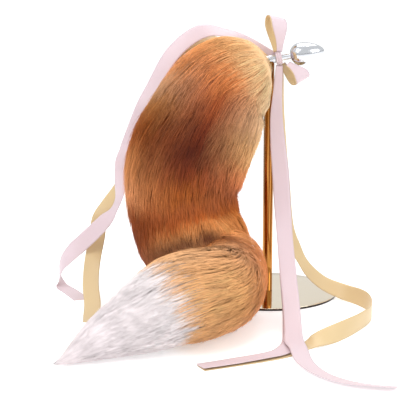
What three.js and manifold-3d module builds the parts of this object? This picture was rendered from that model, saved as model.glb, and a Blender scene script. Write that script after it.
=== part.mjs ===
// A fluffy fox-style costume tail on a round gold display stand, with its metal plug and a ribbon bow.
// Millimetres, +Z up. The origin is the centre of the stand's underside, and -Y is the front.
import * as THREE from 'three';
import { mergeVertices } from 'three/addons/utils/BufferGeometryUtils.js';
import Module from 'manifold-3d';

const wasm = await Module();
wasm.setup();

// Stand
const discDiameter = 175;
const discHeight = 3;
const discEdgeRound = 0.6;
const postDiameter = 12.7;
const spigotDiameter = 8;
const spigotLength = 1.7;
const saddleDepth = 2.5;
const neckHeight = 294;

// Ferrule and plug, along one axis that rises to the right
const plugTilt = THREE.MathUtils.degToRad(10);
const ferruleDiameter = 10.5;
const ferruleStart = -6;
const ferruleEnd = 7.6;
const neckDiameter = 8;
const neckLength = 18;
const bulbDiameter = 28.5;
const bulbLength = 42;

// Tail
const furRadius = 70;
const tailSide = 235;
const tailFront = 300;
const coreShare = 0.86;
const whiteFrom = 0.545;
const tipGapShare = 0.0015;

// Ribbon
const ribbonWidth = 20;
const ribbonThickness = 1;
const knotWidth = 7;
const knotDepth = 19;
const knotHeight = 16.5;
const upperLoopLength = 50;
const lowerLoopLength = 40;
const loopDepth = 10;
const leftReach = 265;
const rightReach = 120;
const frontReach = 373;
const dropBack = 30;

// Fits
const fitGap = 0.3;
const furGap = 0.5;
const layerGap = 1.4;

const roundSides = 44;
const postSides = 24;

function toSolid(geometry) {
  const bare = geometry.clone();
  bare.deleteAttribute('normal');
  bare.deleteAttribute('uv');
  const merged = mergeVertices(bare, 1e-4);
  return new wasm.Manifold(new wasm.Mesh({
    numProp: 3,
    vertProperties: new Float32Array(merged.attributes.position.array),
    triVerts: new Uint32Array(merged.index.array),
  }));
}

function toGeometry(solid) {
  const mesh = solid.getMesh();
  const geometry = new THREE.BufferGeometry();
  geometry.setAttribute('position', new THREE.BufferAttribute(mesh.vertProperties, 3));
  geometry.setIndex(new THREE.BufferAttribute(mesh.triVerts, 1));
  return geometry;
}

// A number between the values of a list, at a share from 0 to 1 of its length
function blend(values, share) {
  const place = THREE.MathUtils.clamp(share, 0, 1) * (values.length - 1);
  const low = Math.min(Math.floor(place), values.length - 2);
  return THREE.MathUtils.lerp(values[low], values[low + 1], place - low);
}

// A closed body through rings of as many points each, with flat ends. Each four-cornered face is
// split along its shorter diagonal, so that both faces of a thin strip split alike.
function loft(rings) {
  const sides = rings[0].length;
  const positions = rings.flat().flatMap((point) => [point.x, point.y, point.z]);
  const index = [];
  for (let i = 0; i + 1 < rings.length; i++) {
    for (let k = 0; k < sides; k++) {
      const next = (k + 1) % sides;
      const a = i * sides + k;
      const b = i * sides + next;
      const rising = rings[i][k].distanceTo(rings[i + 1][next]);
      const falling = rings[i][next].distanceTo(rings[i + 1][k]);
      if (rising < falling) {
        index.push(a, b, b + sides, a, b + sides, a + sides);
      } else {
        index.push(a, b, a + sides, b, b + sides, a + sides);
      }
    }
  }
  const last = (rings.length - 1) * sides;
  for (let k = 1; k + 1 < sides; k++) {
    index.push(0, k + 1, k, last, last + k, last + k + 1);
  }
  const geometry = new THREE.BufferGeometry();
  geometry.setAttribute('position', new THREE.Float32BufferAttribute(positions, 3));
  geometry.setIndex(index);
  return geometry;
}

// Places along the plug's axis, across it to the back, and up from it
function plugPlace(along, back, up) {
  return new THREE.Vector3(
    along * Math.cos(plugTilt) - up * Math.sin(plugTilt),
    back,
    neckHeight + along * Math.sin(plugTilt) + up * Math.cos(plugTilt),
  );
}

// A cylinder along the plug's axis
function plugCylinder(radius, from, to) {
  const geometry = new THREE.CylinderGeometry(radius, radius, to - from, postSides);
  geometry.rotateZ(-Math.PI / 2);
  geometry.translate((from + to) / 2, 0, 0);
  geometry.rotateY(-plugTilt);
  geometry.translate(0, 0, neckHeight);
  return geometry;
}

function uprightCylinder(radius, from, to, sides) {
  const geometry = new THREE.CylinderGeometry(radius, radius, to - from, sides);
  geometry.rotateX(Math.PI / 2);
  geometry.translate(0, 0, (from + to) / 2);
  return geometry;
}

// Stand
const discRadius = discDiameter / 2;
const postRadius = postDiameter / 2;
const spigotRadius = spigotDiameter / 2;
const ferruleRadius = ferruleDiameter / 2;

function standBase() {
  const socketRadius = spigotRadius + fitGap;
  const socketFloor = discHeight - spigotLength - fitGap;
  const profile = [
    [0, 0],
    [discRadius - discEdgeRound, 0],
    [discRadius, discEdgeRound],
    [discRadius, discHeight - discEdgeRound],
    [discRadius - discEdgeRound, discHeight],
    [socketRadius, discHeight],
    [socketRadius, socketFloor],
    [0, socketFloor],
  ].map(([radius, height]) => new THREE.Vector2(radius, height));
  const geometry = new THREE.LatheGeometry(profile, roundSides);
  geometry.rotateX(Math.PI / 2);
  return toGeometry(toSolid(geometry));
}

function standPost() {
  const foot = discHeight + fitGap;
  const top = neckHeight - ferruleRadius + saddleDepth;
  const post = toSolid(uprightCylinder(postRadius, foot, top, postSides));
  const spigotStart = discHeight - spigotLength;
  const spigot = toSolid(uprightCylinder(spigotRadius, spigotStart, foot + spigotLength, postSides));
  const seat = toSolid(plugCylinder(ferruleRadius + fitGap, -postDiameter, postDiameter));
  return toGeometry(post.add(spigot).subtract(seat));
}

// A turned metal piece along the plug's axis, from radii at places along it
function turned(rows) {
  const profile = [[rows[0][0], 0], ...rows, [rows[rows.length - 1][0], 0]];
  const points = profile.map(([along, radius]) => new THREE.Vector2(radius, along));
  const geometry = new THREE.LatheGeometry(points, postSides);
  geometry.rotateZ(-Math.PI / 2);
  geometry.rotateY(-plugTilt);
  geometry.translate(0, 0, neckHeight);
  return toGeometry(toSolid(geometry));
}

function tailFerrule() {
  const chamfer = 0.5;
  return turned([
    [ferruleStart, ferruleRadius - chamfer],
    [ferruleStart + chamfer, ferruleRadius],
    [ferruleEnd - chamfer, ferruleRadius],
    [ferruleEnd, ferruleRadius - chamfer],
  ]);
}

// The bulb is an egg: it widens fast behind the neck and narrows to a round end
const bulbShape = [
  { along: 0.04, radius: 0.55 },
  { along: 0.1, radius: 0.78 },
  { along: 0.2, radius: 0.95 },
  { along: 0.32, radius: 1.0 },
  { along: 0.46, radius: 0.97 },
  { along: 0.6, radius: 0.87 },
  { along: 0.74, radius: 0.71 },
  { along: 0.86, radius: 0.51 },
  { along: 0.95, radius: 0.29 },
  { along: 1.0, radius: 0.08 },
];

function plug() {
  const start = ferruleEnd + fitGap;
  const bulbStart = start + neckLength;
  return turned([
    [start, neckDiameter / 2],
    [bulbStart, neckDiameter / 2],
    ...bulbShape.map(({ along, radius }) => [
      bulbStart + along * bulbLength,
      radius * bulbDiameter / 2,
    ]),
  ]);
}

// The tail hangs from the ferrule, and its end lies folded forward on the floor. side runs to the
// left, front to the front, rise up, and girth is the half-width.
const hangingRows = [
  { side: 0.0, front: 0.0, rise: 1.0, girth: 0.1 },
  { side: 0.068, front: 0.02, rise: 0.978, girth: 0.6 },
  { side: 0.145, front: 0.045, rise: 0.945, girth: 0.88 },
  { side: 0.25, front: 0.08, rise: 0.88, girth: 1.0 },
  { side: 0.347, front: 0.127, rise: 0.74, girth: 1.0 },
  { side: 0.418, front: 0.153, rise: 0.624, girth: 1.02 },
  { side: 0.454, front: 0.173, rise: 0.481, girth: 0.99 },
  { side: 0.436, front: 0.193, rise: 0.36, girth: 0.98 },
  { side: 0.4, front: 0.22, rise: 0.261, girth: 0.95 },
  { side: 0.371, front: 0.26, rise: 0.177, girth: 0.8 },
  { side: 0.353, front: 0.3, rise: 0.13, girth: 0.5 },
];
const lyingRows = [
  { side: 0.3, front: 0.25, rise: 0.19, girth: 0.66 },
  { side: 0.245, front: 0.35, rise: 0.19, girth: 0.77 },
  { side: 0.238, front: 0.483, rise: 0.168, girth: 0.72 },
  { side: 0.29, front: 0.622, rise: 0.178, girth: 0.75 },
  { side: 0.385, front: 0.716, rise: 0.185, girth: 0.77 },
  { side: 0.477, front: 0.773, rise: 0.18, girth: 0.75 },
  { side: 0.582, front: 0.82, rise: 0.148, girth: 0.65 },
  { side: 0.69, front: 0.863, rise: 0.113, girth: 0.52 },
  { side: 0.8, front: 0.907, rise: 0.08, girth: 0.38 },
  { side: 0.89, front: 0.947, rise: 0.046, girth: 0.24 },
  { side: 0.961, front: 0.98, rise: 0.021, girth: 0.1 },
  { side: 1.0, front: 1.0, rise: 0.012, girth: 0.03 },
];

// The run of one stretch of the tail. at(share) gives the section there: its centre, its direction,
// two directions across it and its radius.
function spine(rows, across) {
  const points = rows.map(({ side, front, rise }) => (
    new THREE.Vector3(-side * tailSide, -front * tailFront, rise * neckHeight)
  ));
  const curve = new THREE.CatmullRomCurve3(points, false, 'centripetal');
  const girths = rows.map(({ girth }) => girth * furRadius);
  return {
    at(share) {
      const t = curve.getUtoTmapping(THREE.MathUtils.clamp(share, 0, 1));
      const tangent = curve.getTangent(t);
      const second = across.clone().addScaledVector(tangent, -across.dot(tangent)).normalize();
      const first = new THREE.Vector3().crossVectors(second, tangent);
      return { centre: curve.getPoint(t), tangent, first, second, radius: blend(girths, t) };
    },
  };
}

const toBack = new THREE.Vector3(0, 1, 0);
const upward = new THREE.Vector3(0, 0, 1);
const hanging = spine(hangingRows, toBack);
const lying = spine(lyingRows, upward);

// A point on a section, at an angle round it and a distance from its centre
function around(section, angle, distance) {
  return section.centre.clone()
    .addScaledVector(section.first, Math.cos(angle) * distance)
    .addScaledVector(section.second, Math.sin(angle) * distance);
}

function furCore({ run, from, to, steps }) {
  const sides = 16;
  const rings = [];
  for (let i = 0; i <= steps; i++) {
    const section = run.at(THREE.MathUtils.lerp(from, to, i / steps));
    rings.push(Array.from({ length: sides }, (_, k) => (
      around(section, k / sides * 2 * Math.PI, section.radius * coreShare)
    )));
  }
  return toSolid(loft(rings));
}

// One lock of fur: rooted inside the core, it lies along the tail and lifts to a point at the
// tail's full girth
const lockShape = [
  { along: 0.0, depth: 0.68, width: 0.8, thick: 0.12 },
  { along: 0.4, depth: 0.85, width: 1.0, thick: 0.13 },
  { along: 0.75, depth: 0.93, width: 0.68, thick: 0.1 },
  { along: 1.0, depth: 0.985, width: 0.1, thick: 0.012 },
];

function furLock(run, from, to, angle, sweep, halfWidth) {
  const sides = 5;
  const rings = lockShape.map(({ along, depth, width, thick }) => {
    const section = run.at(THREE.MathUtils.lerp(from, to, along));
    const middle = angle + sweep * along;
    return Array.from({ length: sides }, (_, k) => {
      const turn = k / sides * 2 * Math.PI;
      const out = section.radius * (depth + thick * Math.cos(turn));
      return around(section, middle + Math.sin(turn) * halfWidth * width, out);
    });
  });
  return toSolid(loft(rings));
}

// A repeatable uneven number from -1 to 1, so that no two locks are alike
function uneven(seed) {
  const wave = Math.sin(seed * 12.9898) * 43758.5453;
  return 2 * (wave - Math.floor(wave)) - 1;
}

// Staggered rings of locks between two stations of a run, each lock as long as its share of the run
function furLocks({ run, from, to, rings, perRing, length }) {
  const locks = [];
  for (let i = 0; i < rings; i++) {
    const start = THREE.MathUtils.lerp(from, to - length, rings > 1 ? i / (rings - 1) : 0);
    for (let k = 0; k < perRing; k++) {
      const seed = 1 + i * perRing + k;
      const angle = (k + (i % 2) / 2 + 0.16 * uneven(seed)) / perRing * 2 * Math.PI;
      const end = start + length * (0.92 + 0.08 * uneven(seed + 0.5));
      const halfWidth = 0.62 * 2 * Math.PI / perRing;
      locks.push(furLock(run, start, end, angle, 0.14 * uneven(seed + 0.25), halfWidth));
    }
  }
  return locks;
}

function joined(solids) {
  return solids.reduce((whole, solid) => whole.add(solid));
}

// The largest of the loose bodies that a cut leaves
function largest(solid) {
  return solid.decompose().reduce((best, body) => (body.volume() > best.volume() ? body : best));
}

function floorCut() {
  const size = 3 * (tailSide + tailFront);
  const box = new THREE.BoxGeometry(size, size, furRadius);
  box.translate(0, 0, -furRadius / 2);
  return toSolid(box);
}

function furBody(ribbons) {
  const hangs = furCore({ run: hanging, from: 0, to: 1, steps: 12 });
  const lies = furCore({ run: lying, from: 0, to: whiteFrom, steps: 8 });
  const hangingLocks = furLocks({ run: hanging, from: 0.01, to: 0.97, rings: 6, perRing: 7, length: 0.27 });
  const lyingLocks = furLocks({ run: lying, from: 0.12, to: whiteFrom, rings: 3, perRing: 7, length: 0.2 });
  const whole = joined([hangs, lies, ...hangingLocks, ...lyingLocks]);
  const cuts = joined([
    floorCut(),
    toSolid(uprightCylinder(discRadius + furGap, -discHeight, discHeight + fitGap, roundSides)),
    toSolid(uprightCylinder(postRadius + furGap, 0, neckHeight, postSides)),
    toSolid(plugCylinder(ferruleRadius + fitGap, ferruleStart - fitGap, ferruleEnd + knotWidth)),
    ...ribbons,
  ]);
  return toGeometry(largest(whole.subtract(cuts)));
}

function furTip(ribbons) {
  const start = whiteFrom + tipGapShare;
  const core = furCore({ run: lying, from: start, to: 1, steps: 8 });
  const locks = furLocks({ run: lying, from: start, to: 0.985, rings: 3, perRing: 6, length: 0.2 });
  const cuts = joined([floorCut(), ...ribbons]);
  return toGeometry(largest(joined([core, ...locks]).subtract(cuts)));
}

// A strip of ribbon. Each section has a centre, a direction across and a share of the full width. Where
// it would sink into the floor, it is lifted onto it.
function strip(sections, grow = 0) {
  const clearOfFloor = 0.1;
  const rings = sections.map(({ centre, across, wide }, i) => {
    const before = sections[Math.max(i - 1, 0)].centre;
    const after = sections[Math.min(i + 1, sections.length - 1)].centre;
    const tangent = new THREE.Vector3().subVectors(after, before).normalize();
    const normal = new THREE.Vector3().crossVectors(tangent, across).normalize();
    const half = across.clone().multiplyScalar(ribbonWidth * wide / 2 + grow);
    const out = normal.multiplyScalar(ribbonThickness / 2 + grow);
    const corners = [[-1, -1], [1, -1], [1, 1], [-1, 1]].map(([a, b]) => (
      centre.clone().addScaledVector(half, a).addScaledVector(out, b)
    ));
    const lowest = Math.min(...corners.map((corner) => corner.z)) + grow;
    const lift = Math.max(0, clearOfFloor - lowest);
    corners.forEach((corner) => { corner.z += lift; });
    return corners;
  });
  return loft(rings);
}

// Smooth sections through the chosen rows of a strip
function smoothSections(rows, stepsPerRow) {
  const middle = new THREE.CatmullRomCurve3(rows.map((row) => row.centre), false, 'centripetal');
  const count = (rows.length - 1) * stepsPerRow;
  return Array.from({ length: count + 1 }, (_, i) => {
    const share = i / count;
    const across = new THREE.Vector3(
      blend(rows.map((row) => row.across.x), share),
      blend(rows.map((row) => row.across.y), share),
      blend(rows.map((row) => row.across.z), share),
    ).normalize();
    return { centre: middle.getPoint(share), across, wide: blend(rows.map((row) => row.wide), share) };
  });
}

// A streamer's row beside the tail: it stands on edge on the fur, and angle 0 is the tail's outer side
function besideTail({ along, angle, off, wide }) {
  const section = hanging.at(along);
  const turn = THREE.MathUtils.degToRad(angle);
  const centre = around(section, turn, section.radius + off + ribbonWidth * wide / 2);
  const across = around(section, turn, 1).sub(section.centre);
  return { centre, across, wide };
}

// A streamer's free row. left and right are shares of the reach to that side, front and back of the
// reach to the front and of the drop to the back, and rise of the neck's height. layer counts the
// ribbons under it on the floor. ax, ay and az are the direction across the strip.
function free({ left = 0, right = 0, front = 0, back = 0, rise = 0, layer = 0, ax, ay, az, wide }) {
  return {
    centre: new THREE.Vector3(
      right * rightReach - left * leftReach,
      back * dropBack - front * frontReach,
      rise * neckHeight + layer * (ribbonThickness + layerGap),
    ),
    across: new THREE.Vector3(ax, ay, az).normalize(),
    wide,
  };
}

const knotStart = ferruleEnd + 2 * fitGap;

// A row at the knot, in the plug's own directions: along, back and up are shares of its width, depth
// and height, from the middle of the face toward the tail
function atKnot({ along, back, up, across, wide }) {
  return {
    centre: plugPlace(knotStart + along * knotWidth, back * knotDepth, up * knotHeight),
    across: plugPlace(...across).sub(plugPlace(0, 0, 0)).normalize(),
    wide,
  };
}

// Left: both streamers leave the knot behind the ferrule, ride over the tail on edge and fall from
// its outer side
const leftPinkRows = [
  atKnot({ along: -0.045, back: 0.36, up: 0.24, across: [0, 0, 1], wide: 0.35 }),
  besideTail({ along: 0.06, angle: 42, off: 6, wide: 0.6 }),
  besideTail({ along: 0.13, angle: 30, off: 3, wide: 0.85 }),
  besideTail({ along: 0.22, angle: 26, off: 1, wide: 1 }),
  besideTail({ along: 0.32, angle: 25, off: 0.5, wide: 1 }),
  besideTail({ along: 0.42, angle: 25, off: 0.5, wide: 1 }),
  besideTail({ along: 0.52, angle: 27, off: 1, wide: 1 }),
  free({ left: 0.66, back: -0.5, rise: 0.66, ax: -0.6, ay: 0.8, az: 0.05, wide: 1 }),
  free({ left: 0.682, back: -0.4, rise: 0.568, ax: -0.92, ay: 0.4, az: 0.05, wide: 1 }),
  free({ left: 0.694, back: -0.27, rise: 0.48, ax: -0.75, ay: 0.66, az: 0, wide: 1 }),
  free({ left: 0.706, back: -0.2, rise: 0.405, ax: -0.4, ay: 0.9, az: 0.1, wide: 1 }),
  free({ left: 0.728, back: -0.3, rise: 0.364, ax: -0.25, ay: 0.9, az: 0.3, wide: 1 }),
  free({ left: 0.77, back: -0.4, rise: 0.32, ax: -0.5, ay: 0.5, az: 0.6, wide: 1 }),
  free({ left: 0.875, back: -0.15, rise: 0.224, ax: -0.62, ay: 0.25, az: 0.72, wide: 1 }),
  free({ left: 0.94, back: 0.15, rise: 0.165, ax: -0.5, ay: 0.5, az: 0.65, wide: 1 }),
  free({ left: 0.985, back: 0.45, rise: 0.11, ax: -0.3, ay: 0.85, az: 0.4, wide: 1 }),
  free({ left: 1, back: 0.75, rise: 0.055, ax: -0.1, ay: 0.97, az: 0.15, wide: 1 }),
  free({ left: 0.99, back: 0.75, rise: 0.012, ax: 0.45, ay: 0.88, az: 0.05, wide: 1 }),
  free({ left: 0.955, back: 0.3, ax: 0.7, ay: 0.71, az: 0, wide: 1 }),
  free({ left: 0.915, front: 0.035, ax: 0.82, ay: 0.57, az: 0, wide: 1 }),
  free({ left: 0.875, front: 0.1, ax: 0.85, ay: 0.52, az: 0, wide: 1 }),
];
const leftGoldRows = [
  atKnot({ along: -0.045, back: 0.46, up: 0.27, across: [0, 0, 1], wide: 0.35 }),
  besideTail({ along: 0.06, angle: 54, off: 7.5, wide: 0.6 }),
  besideTail({ along: 0.13, angle: 38, off: 5, wide: 0.85 }),
  besideTail({ along: 0.22, angle: 32, off: 3, wide: 1 }),
  besideTail({ along: 0.32, angle: 31, off: 2.5, wide: 1 }),
  besideTail({ along: 0.42, angle: 32, off: 2, wide: 1 }),
  besideTail({ along: 0.52, angle: 37, off: 2, wide: 1 }),
  free({ left: 0.655, back: 0.6, rise: 0.66, ax: -0.3, ay: 0.95, az: 0, wide: 1 }),
  free({ left: 0.672, back: 0.85, rise: 0.55, ax: -0.4, ay: 0.9, az: 0.05, wide: 1 }),
  free({ left: 0.705, back: 0.85, rise: 0.45, ax: -0.65, ay: 0.75, az: 0.1, wide: 1 }),
  free({ left: 0.76, back: 0.75, rise: 0.37, ax: -0.88, ay: 0.45, az: 0.15, wide: 1 }),
  free({ left: 0.8, back: 0.6, rise: 0.31, ax: -0.97, ay: 0.15, az: 0.15, wide: 1 }),
  free({ left: 0.812, back: 0.4, rise: 0.235, ax: -1, ay: 0.05, az: 0.05, wide: 1 }),
  free({ left: 0.828, back: -0.2, rise: 0.155, ax: -1, ay: -0.1, az: 0, wide: 1 }),
  free({ left: 0.828, front: 0.12, rise: 0.08, ax: -0.95, ay: -0.2, az: -0.2, wide: 1 }),
  free({ left: 0.81, front: 0.22, rise: 0.028, ax: -1, ay: -0.1, az: -0.1, wide: 1 }),
  free({ left: 0.805, front: 0.3, rise: 0.005, ax: -1, ay: 0, az: 0, wide: 1 }),
  free({ left: 0.8, front: 0.36, ax: -1, ay: 0, az: 0, wide: 1 }),
];

// Right: two pink streamers drop together and sweep forward. The front one turns to the right on
// the floor, and the one behind it turns to the left.
const frontPinkRows = [
  atKnot({ along: 0.36, back: -0.26, up: -0.52, across: [1, 0, 0], wide: 0.42 }),
  free({ right: 0.08, front: 0.036, rise: 0.87, ax: 1, ay: 0.15, az: 0, wide: 0.55 }),
  free({ right: 0.067, front: 0.05, rise: 0.775, ax: 1, ay: 0.1, az: 0, wide: 0.72 }),
  free({ right: 0.083, front: 0.065, rise: 0.653, ax: 1, ay: 0.1, az: 0, wide: 0.9 }),
  free({ right: 0.108, front: 0.086, rise: 0.544, ax: 1, ay: 0.1, az: 0, wide: 1 }),
  free({ right: 0.125, front: 0.12, rise: 0.42, ax: 1, ay: 0.1, az: 0, wide: 1 }),
  free({ right: 0.145, front: 0.18, rise: 0.29, ax: 0.95, ay: 0.28, az: 0, wide: 1 }),
  free({ right: 0.163, front: 0.28, rise: 0.165, ax: 0.97, ay: 0.2, az: 0.1, wide: 1 }),
  free({ right: 0.17, front: 0.41, rise: 0.078, ax: 1, ay: 0.1, az: 0.05, wide: 1 }),
  free({ right: 0.163, front: 0.52, rise: 0.034, ax: 0.95, ay: 0.3, az: 0.1, wide: 1 }),
  free({ right: 0.155, front: 0.6, layer: 2.2, ax: 0.86, ay: 0.5, az: 0.1, wide: 1.08 }),
  free({ right: 0.18, front: 0.665, layer: 2, ax: 0.99, ay: 0.1, az: 0, wide: 1 }),
  free({ right: 0.215, front: 0.78, layer: 1.2, ax: 0.93, ay: 0.3, az: -0.1, wide: 1 }),
  free({ right: 0.33, front: 0.878, layer: 1, ax: 0.76, ay: 0.62, az: -0.15, wide: 1 }),
  free({ right: 0.55, front: 0.955, layer: 1, ax: 0.42, ay: 0.88, az: -0.2, wide: 1 }),
  free({ right: 0.79, front: 0.985, layer: 1, ax: 0.16, ay: 0.96, az: -0.24, wide: 1 }),
  free({ right: 0.925, front: 0.995, layer: 1, ax: 0.08, ay: 0.97, az: -0.25, wide: 1 }),
];
const backPinkRows = [
  atKnot({ along: 0.41, back: -0.1, up: -0.52, across: [1, 0, 0], wide: 0.42 }),
  free({ right: 0.085, front: 0.024, rise: 0.87, ax: 1, ay: 0.12, az: 0, wide: 0.55 }),
  free({ right: 0.075, front: 0.038, rise: 0.775, ax: 1, ay: 0.08, az: 0, wide: 0.72 }),
  free({ right: 0.091, front: 0.053, rise: 0.653, ax: 1, ay: 0.08, az: 0, wide: 0.9 }),
  free({ right: 0.116, front: 0.074, rise: 0.544, ax: 1, ay: 0.08, az: 0, wide: 1 }),
  free({ right: 0.133, front: 0.107, rise: 0.41, ax: 1, ay: 0.08, az: 0, wide: 1 }),
  free({ right: 0.15, front: 0.162, rise: 0.28, ax: 0.96, ay: 0.25, az: 0, wide: 1 }),
  free({ right: 0.166, front: 0.26, rise: 0.152, ax: 0.97, ay: 0.2, az: 0.05, wide: 1 }),
  free({ right: 0.17, front: 0.385, rise: 0.066, ax: 1, ay: 0.1, az: 0, wide: 1 }),
  free({ right: 0.155, front: 0.49, rise: 0.022, ax: 0.98, ay: 0.1, az: 0, wide: 1 }),
  free({ right: 0.135, front: 0.575, layer: 1, ax: 1, ay: 0.04, az: 0, wide: 1 }),
  free({ right: 0.09, front: 0.64, layer: 1, ax: 0.94, ay: -0.3, az: 0, wide: 1 }),
  free({ right: 0.0, front: 0.69, layer: 1, ax: 0.68, ay: -0.73, az: 0.02, wide: 1 }),
  free({ right: -0.16, front: 0.725, layer: 1, ax: 0.53, ay: -0.84, az: 0.04, wide: 1 }),
  free({ right: -0.35, front: 0.758, layer: 1, ax: 0.48, ay: -0.87, az: 0.04, wide: 1 }),
  free({ right: -0.53, front: 0.787, layer: 1, ax: 0.45, ay: -0.89, az: 0.03, wide: 1 }),
  free({ right: -0.71, front: 0.814, layer: 1, ax: 0.43, ay: -0.9, az: 0.02, wide: 1 }),
];
// The gold one flares out to the right, makes a U-turn on its edge and comes back under the pink ones
const rightGoldRows = [
  atKnot({ along: 0.57, back: 0.21, up: -0.52, across: [1, 0.5, 0], wide: 0.42 }),
  free({ right: 0.12, back: 0.1, rise: 0.83, ax: 0.7, ay: 0.7, az: 0, wide: 0.6 }),
  free({ right: 0.125, back: 0.07, rise: 0.735, ax: 0.65, ay: 0.75, az: 0, wide: 0.8 }),
  free({ right: 0.165, back: -0.05, rise: 0.53, ax: 0.62, ay: 0.78, az: 0, wide: 1 }),
  free({ right: 0.22, back: -0.3, rise: 0.285, ax: 0.65, ay: 0.75, az: 0, wide: 1 }),
  free({ right: 0.28, back: -0.4, rise: 0.214, ax: 0.62, ay: 0.75, az: 0.15, wide: 1 }),
  free({ right: 0.36, back: -0.5, rise: 0.148, ax: 0.48, ay: 0.83, az: 0.26, wide: 1 }),
  free({ right: 0.45, back: -0.67, rise: 0.102, ax: 0.51, ay: 0.75, az: 0.42, wide: 1 }),
  free({ right: 0.58, back: -0.9, rise: 0.063, ax: 0.4, ay: 0.71, az: 0.57, wide: 1 }),
  free({ right: 0.77, front: 0.1, rise: 0.036, ax: 0.36, ay: 0.5, az: 0.77, wide: 1 }),
  free({ right: 0.91, front: 0.155, rise: 0.033, ax: 0.3, ay: 0.3, az: 0.9, wide: 1 }),
  free({ right: 0.985, front: 0.24, rise: 0.035, ax: 0.1, ay: 0.05, az: 1, wide: 1 }),
  free({ right: 0.965, front: 0.345, rise: 0.035, ax: 0.0, ay: 0.0, az: 1, wide: 1 }),
  free({ right: 0.81, front: 0.45, rise: 0.035, ax: 0.0, ay: 0.1, az: 1, wide: 1 }),
  free({ right: 0.56, front: 0.553, rise: 0.031, ax: -0.25, ay: 0.4, az: 0.86, wide: 1 }),
  free({ right: 0.36, front: 0.6, rise: 0.018, ax: -0.25, ay: 0.85, az: 0.42, wide: 1 }),
  free({ right: 0.29, front: 0.61, rise: 0.006, ax: -0.32, ay: 0.92, az: 0.12, wide: 1 }),
  free({ right: 0.225, front: 0.624, ax: -0.4, ay: 0.9, az: 0, wide: 1 }),
  free({ right: 0.13, front: 0.663, ax: -0.62, ay: 0.78, az: 0, wide: 1 }),
  free({ right: 0.0, front: 0.703, ax: -0.5, ay: 0.86, az: 0, wide: 1 }),
  free({ right: -0.16, front: 0.733, ax: -0.48, ay: 0.87, az: 0, wide: 1 }),
  free({ right: -0.35, front: 0.763, ax: -0.46, ay: 0.88, az: 0, wide: 1 }),
  free({ right: -0.7, front: 0.815, ax: -0.43, ay: 0.9, az: 0, wide: 1 }),
];

function streamer(rows, grow = 0) {
  return strip(smoothSections(rows, 2), grow);
}

// The knot is a wrapped cuff round the plug's neck
function bowKnot() {
  const corner = 4;
  const halfDepth = knotDepth / 2;
  const halfHeight = knotHeight / 2;
  const outline = new THREE.Shape();
  outline.moveTo(-halfDepth + corner, -halfHeight);
  outline.lineTo(halfDepth - corner, -halfHeight);
  outline.quadraticCurveTo(halfDepth, -halfHeight, halfDepth, -halfHeight + corner);
  outline.lineTo(halfDepth, halfHeight - corner);
  outline.quadraticCurveTo(halfDepth, halfHeight, halfDepth - corner, halfHeight);
  outline.lineTo(-halfDepth + corner, halfHeight);
  outline.quadraticCurveTo(-halfDepth, halfHeight, -halfDepth, halfHeight - corner);
  outline.lineTo(-halfDepth, -halfHeight + corner);
  outline.quadraticCurveTo(-halfDepth, -halfHeight, -halfDepth + corner, -halfHeight);
  const bore = new THREE.Path();
  bore.absarc(0, 0, neckDiameter / 2 + fitGap, 0, 2 * Math.PI, true);
  outline.holes.push(bore);
  const geometry = new THREE.ExtrudeGeometry(outline, {
    depth: knotWidth, bevelEnabled: false, curveSegments: 6,
  });
  geometry.applyMatrix4(new THREE.Matrix4().makeBasis(toBack, upward, new THREE.Vector3(1, 0, 0)));
  geometry.translate(knotStart, 0, 0);
  geometry.rotateY(-plugTilt);
  geometry.translate(0, 0, neckHeight);
  return toGeometry(toSolid(geometry));
}

// A hollow loop of ribbon that leaves the knot and comes back to it. out is the way it points and
// across the way its band is wide, both in the plug's own directions.
function bowLoop({ length, out, across }) {
  const steps = 20;
  const fullWidthFrom = 0.28;
  const knotMiddle = knotStart + knotWidth / 2;
  const pointing = new THREE.Vector3(...out).normalize();
  const band = new THREE.Vector3(...across).normalize();
  const open = new THREE.Vector3().crossVectors(band, pointing).normalize();
  const middle = (share) => new THREE.Vector3(knotMiddle, 0, 0)
    .addScaledVector(pointing, length * Math.sin(Math.PI * share))
    .addScaledVector(open, loopDepth * Math.sin(2 * Math.PI * share));
  const clear = knotHeight / 2 + fitGap + ribbonThickness / 2;
  const step = 0.002;
  let first = 0;
  while (Math.abs(middle(first).z) < clear) {
    first += step;
  }
  let last = 1;
  while (Math.abs(middle(last).z) < clear) {
    last -= step;
  }
  const sections = Array.from({ length: steps + 1 }, (_, i) => {
    const share = THREE.MathUtils.lerp(first, last, i / steps);
    const place = middle(share);
    const fromKnot = Math.min(share - first, last - share);
    const spread = THREE.MathUtils.smoothstep(fromKnot, 0, fullWidthFrom);
    const straight = new THREE.Vector3(1, 0, 0).lerp(band, spread).normalize();
    return {
      centre: plugPlace(place.x, place.y, place.z),
      across: plugPlace(straight.x, straight.y, straight.z).sub(plugPlace(0, 0, 0)),
      wide: THREE.MathUtils.lerp(knotWidth / ribbonWidth, 1, spread),
    };
  });
  return strip(sections);
}

const upperLoop = { length: upperLoopLength, out: [0.1, 0.05, 1], across: [0.82, 0.3, -0.4] };
const lowerLoop = { length: lowerLoopLength, out: [0.6, -0.2, -0.77], across: [0.85, 0.4, 0.3] };

function named(name, geometry, color, roughness, metalness) {
  const flat = geometry.index ? geometry.toNonIndexed() : geometry;
  flat.computeVertexNormals();
  const mesh = new THREE.Mesh(flat, new THREE.MeshStandardMaterial({ color, roughness, metalness }));
  mesh.name = name;
  return mesh;
}

const overTail = [leftPinkRows, leftGoldRows, frontPinkRows, backPinkRows];
const ribbonRoom = overTail.map((rows) => toSolid(streamer(rows, furGap)));

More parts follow.
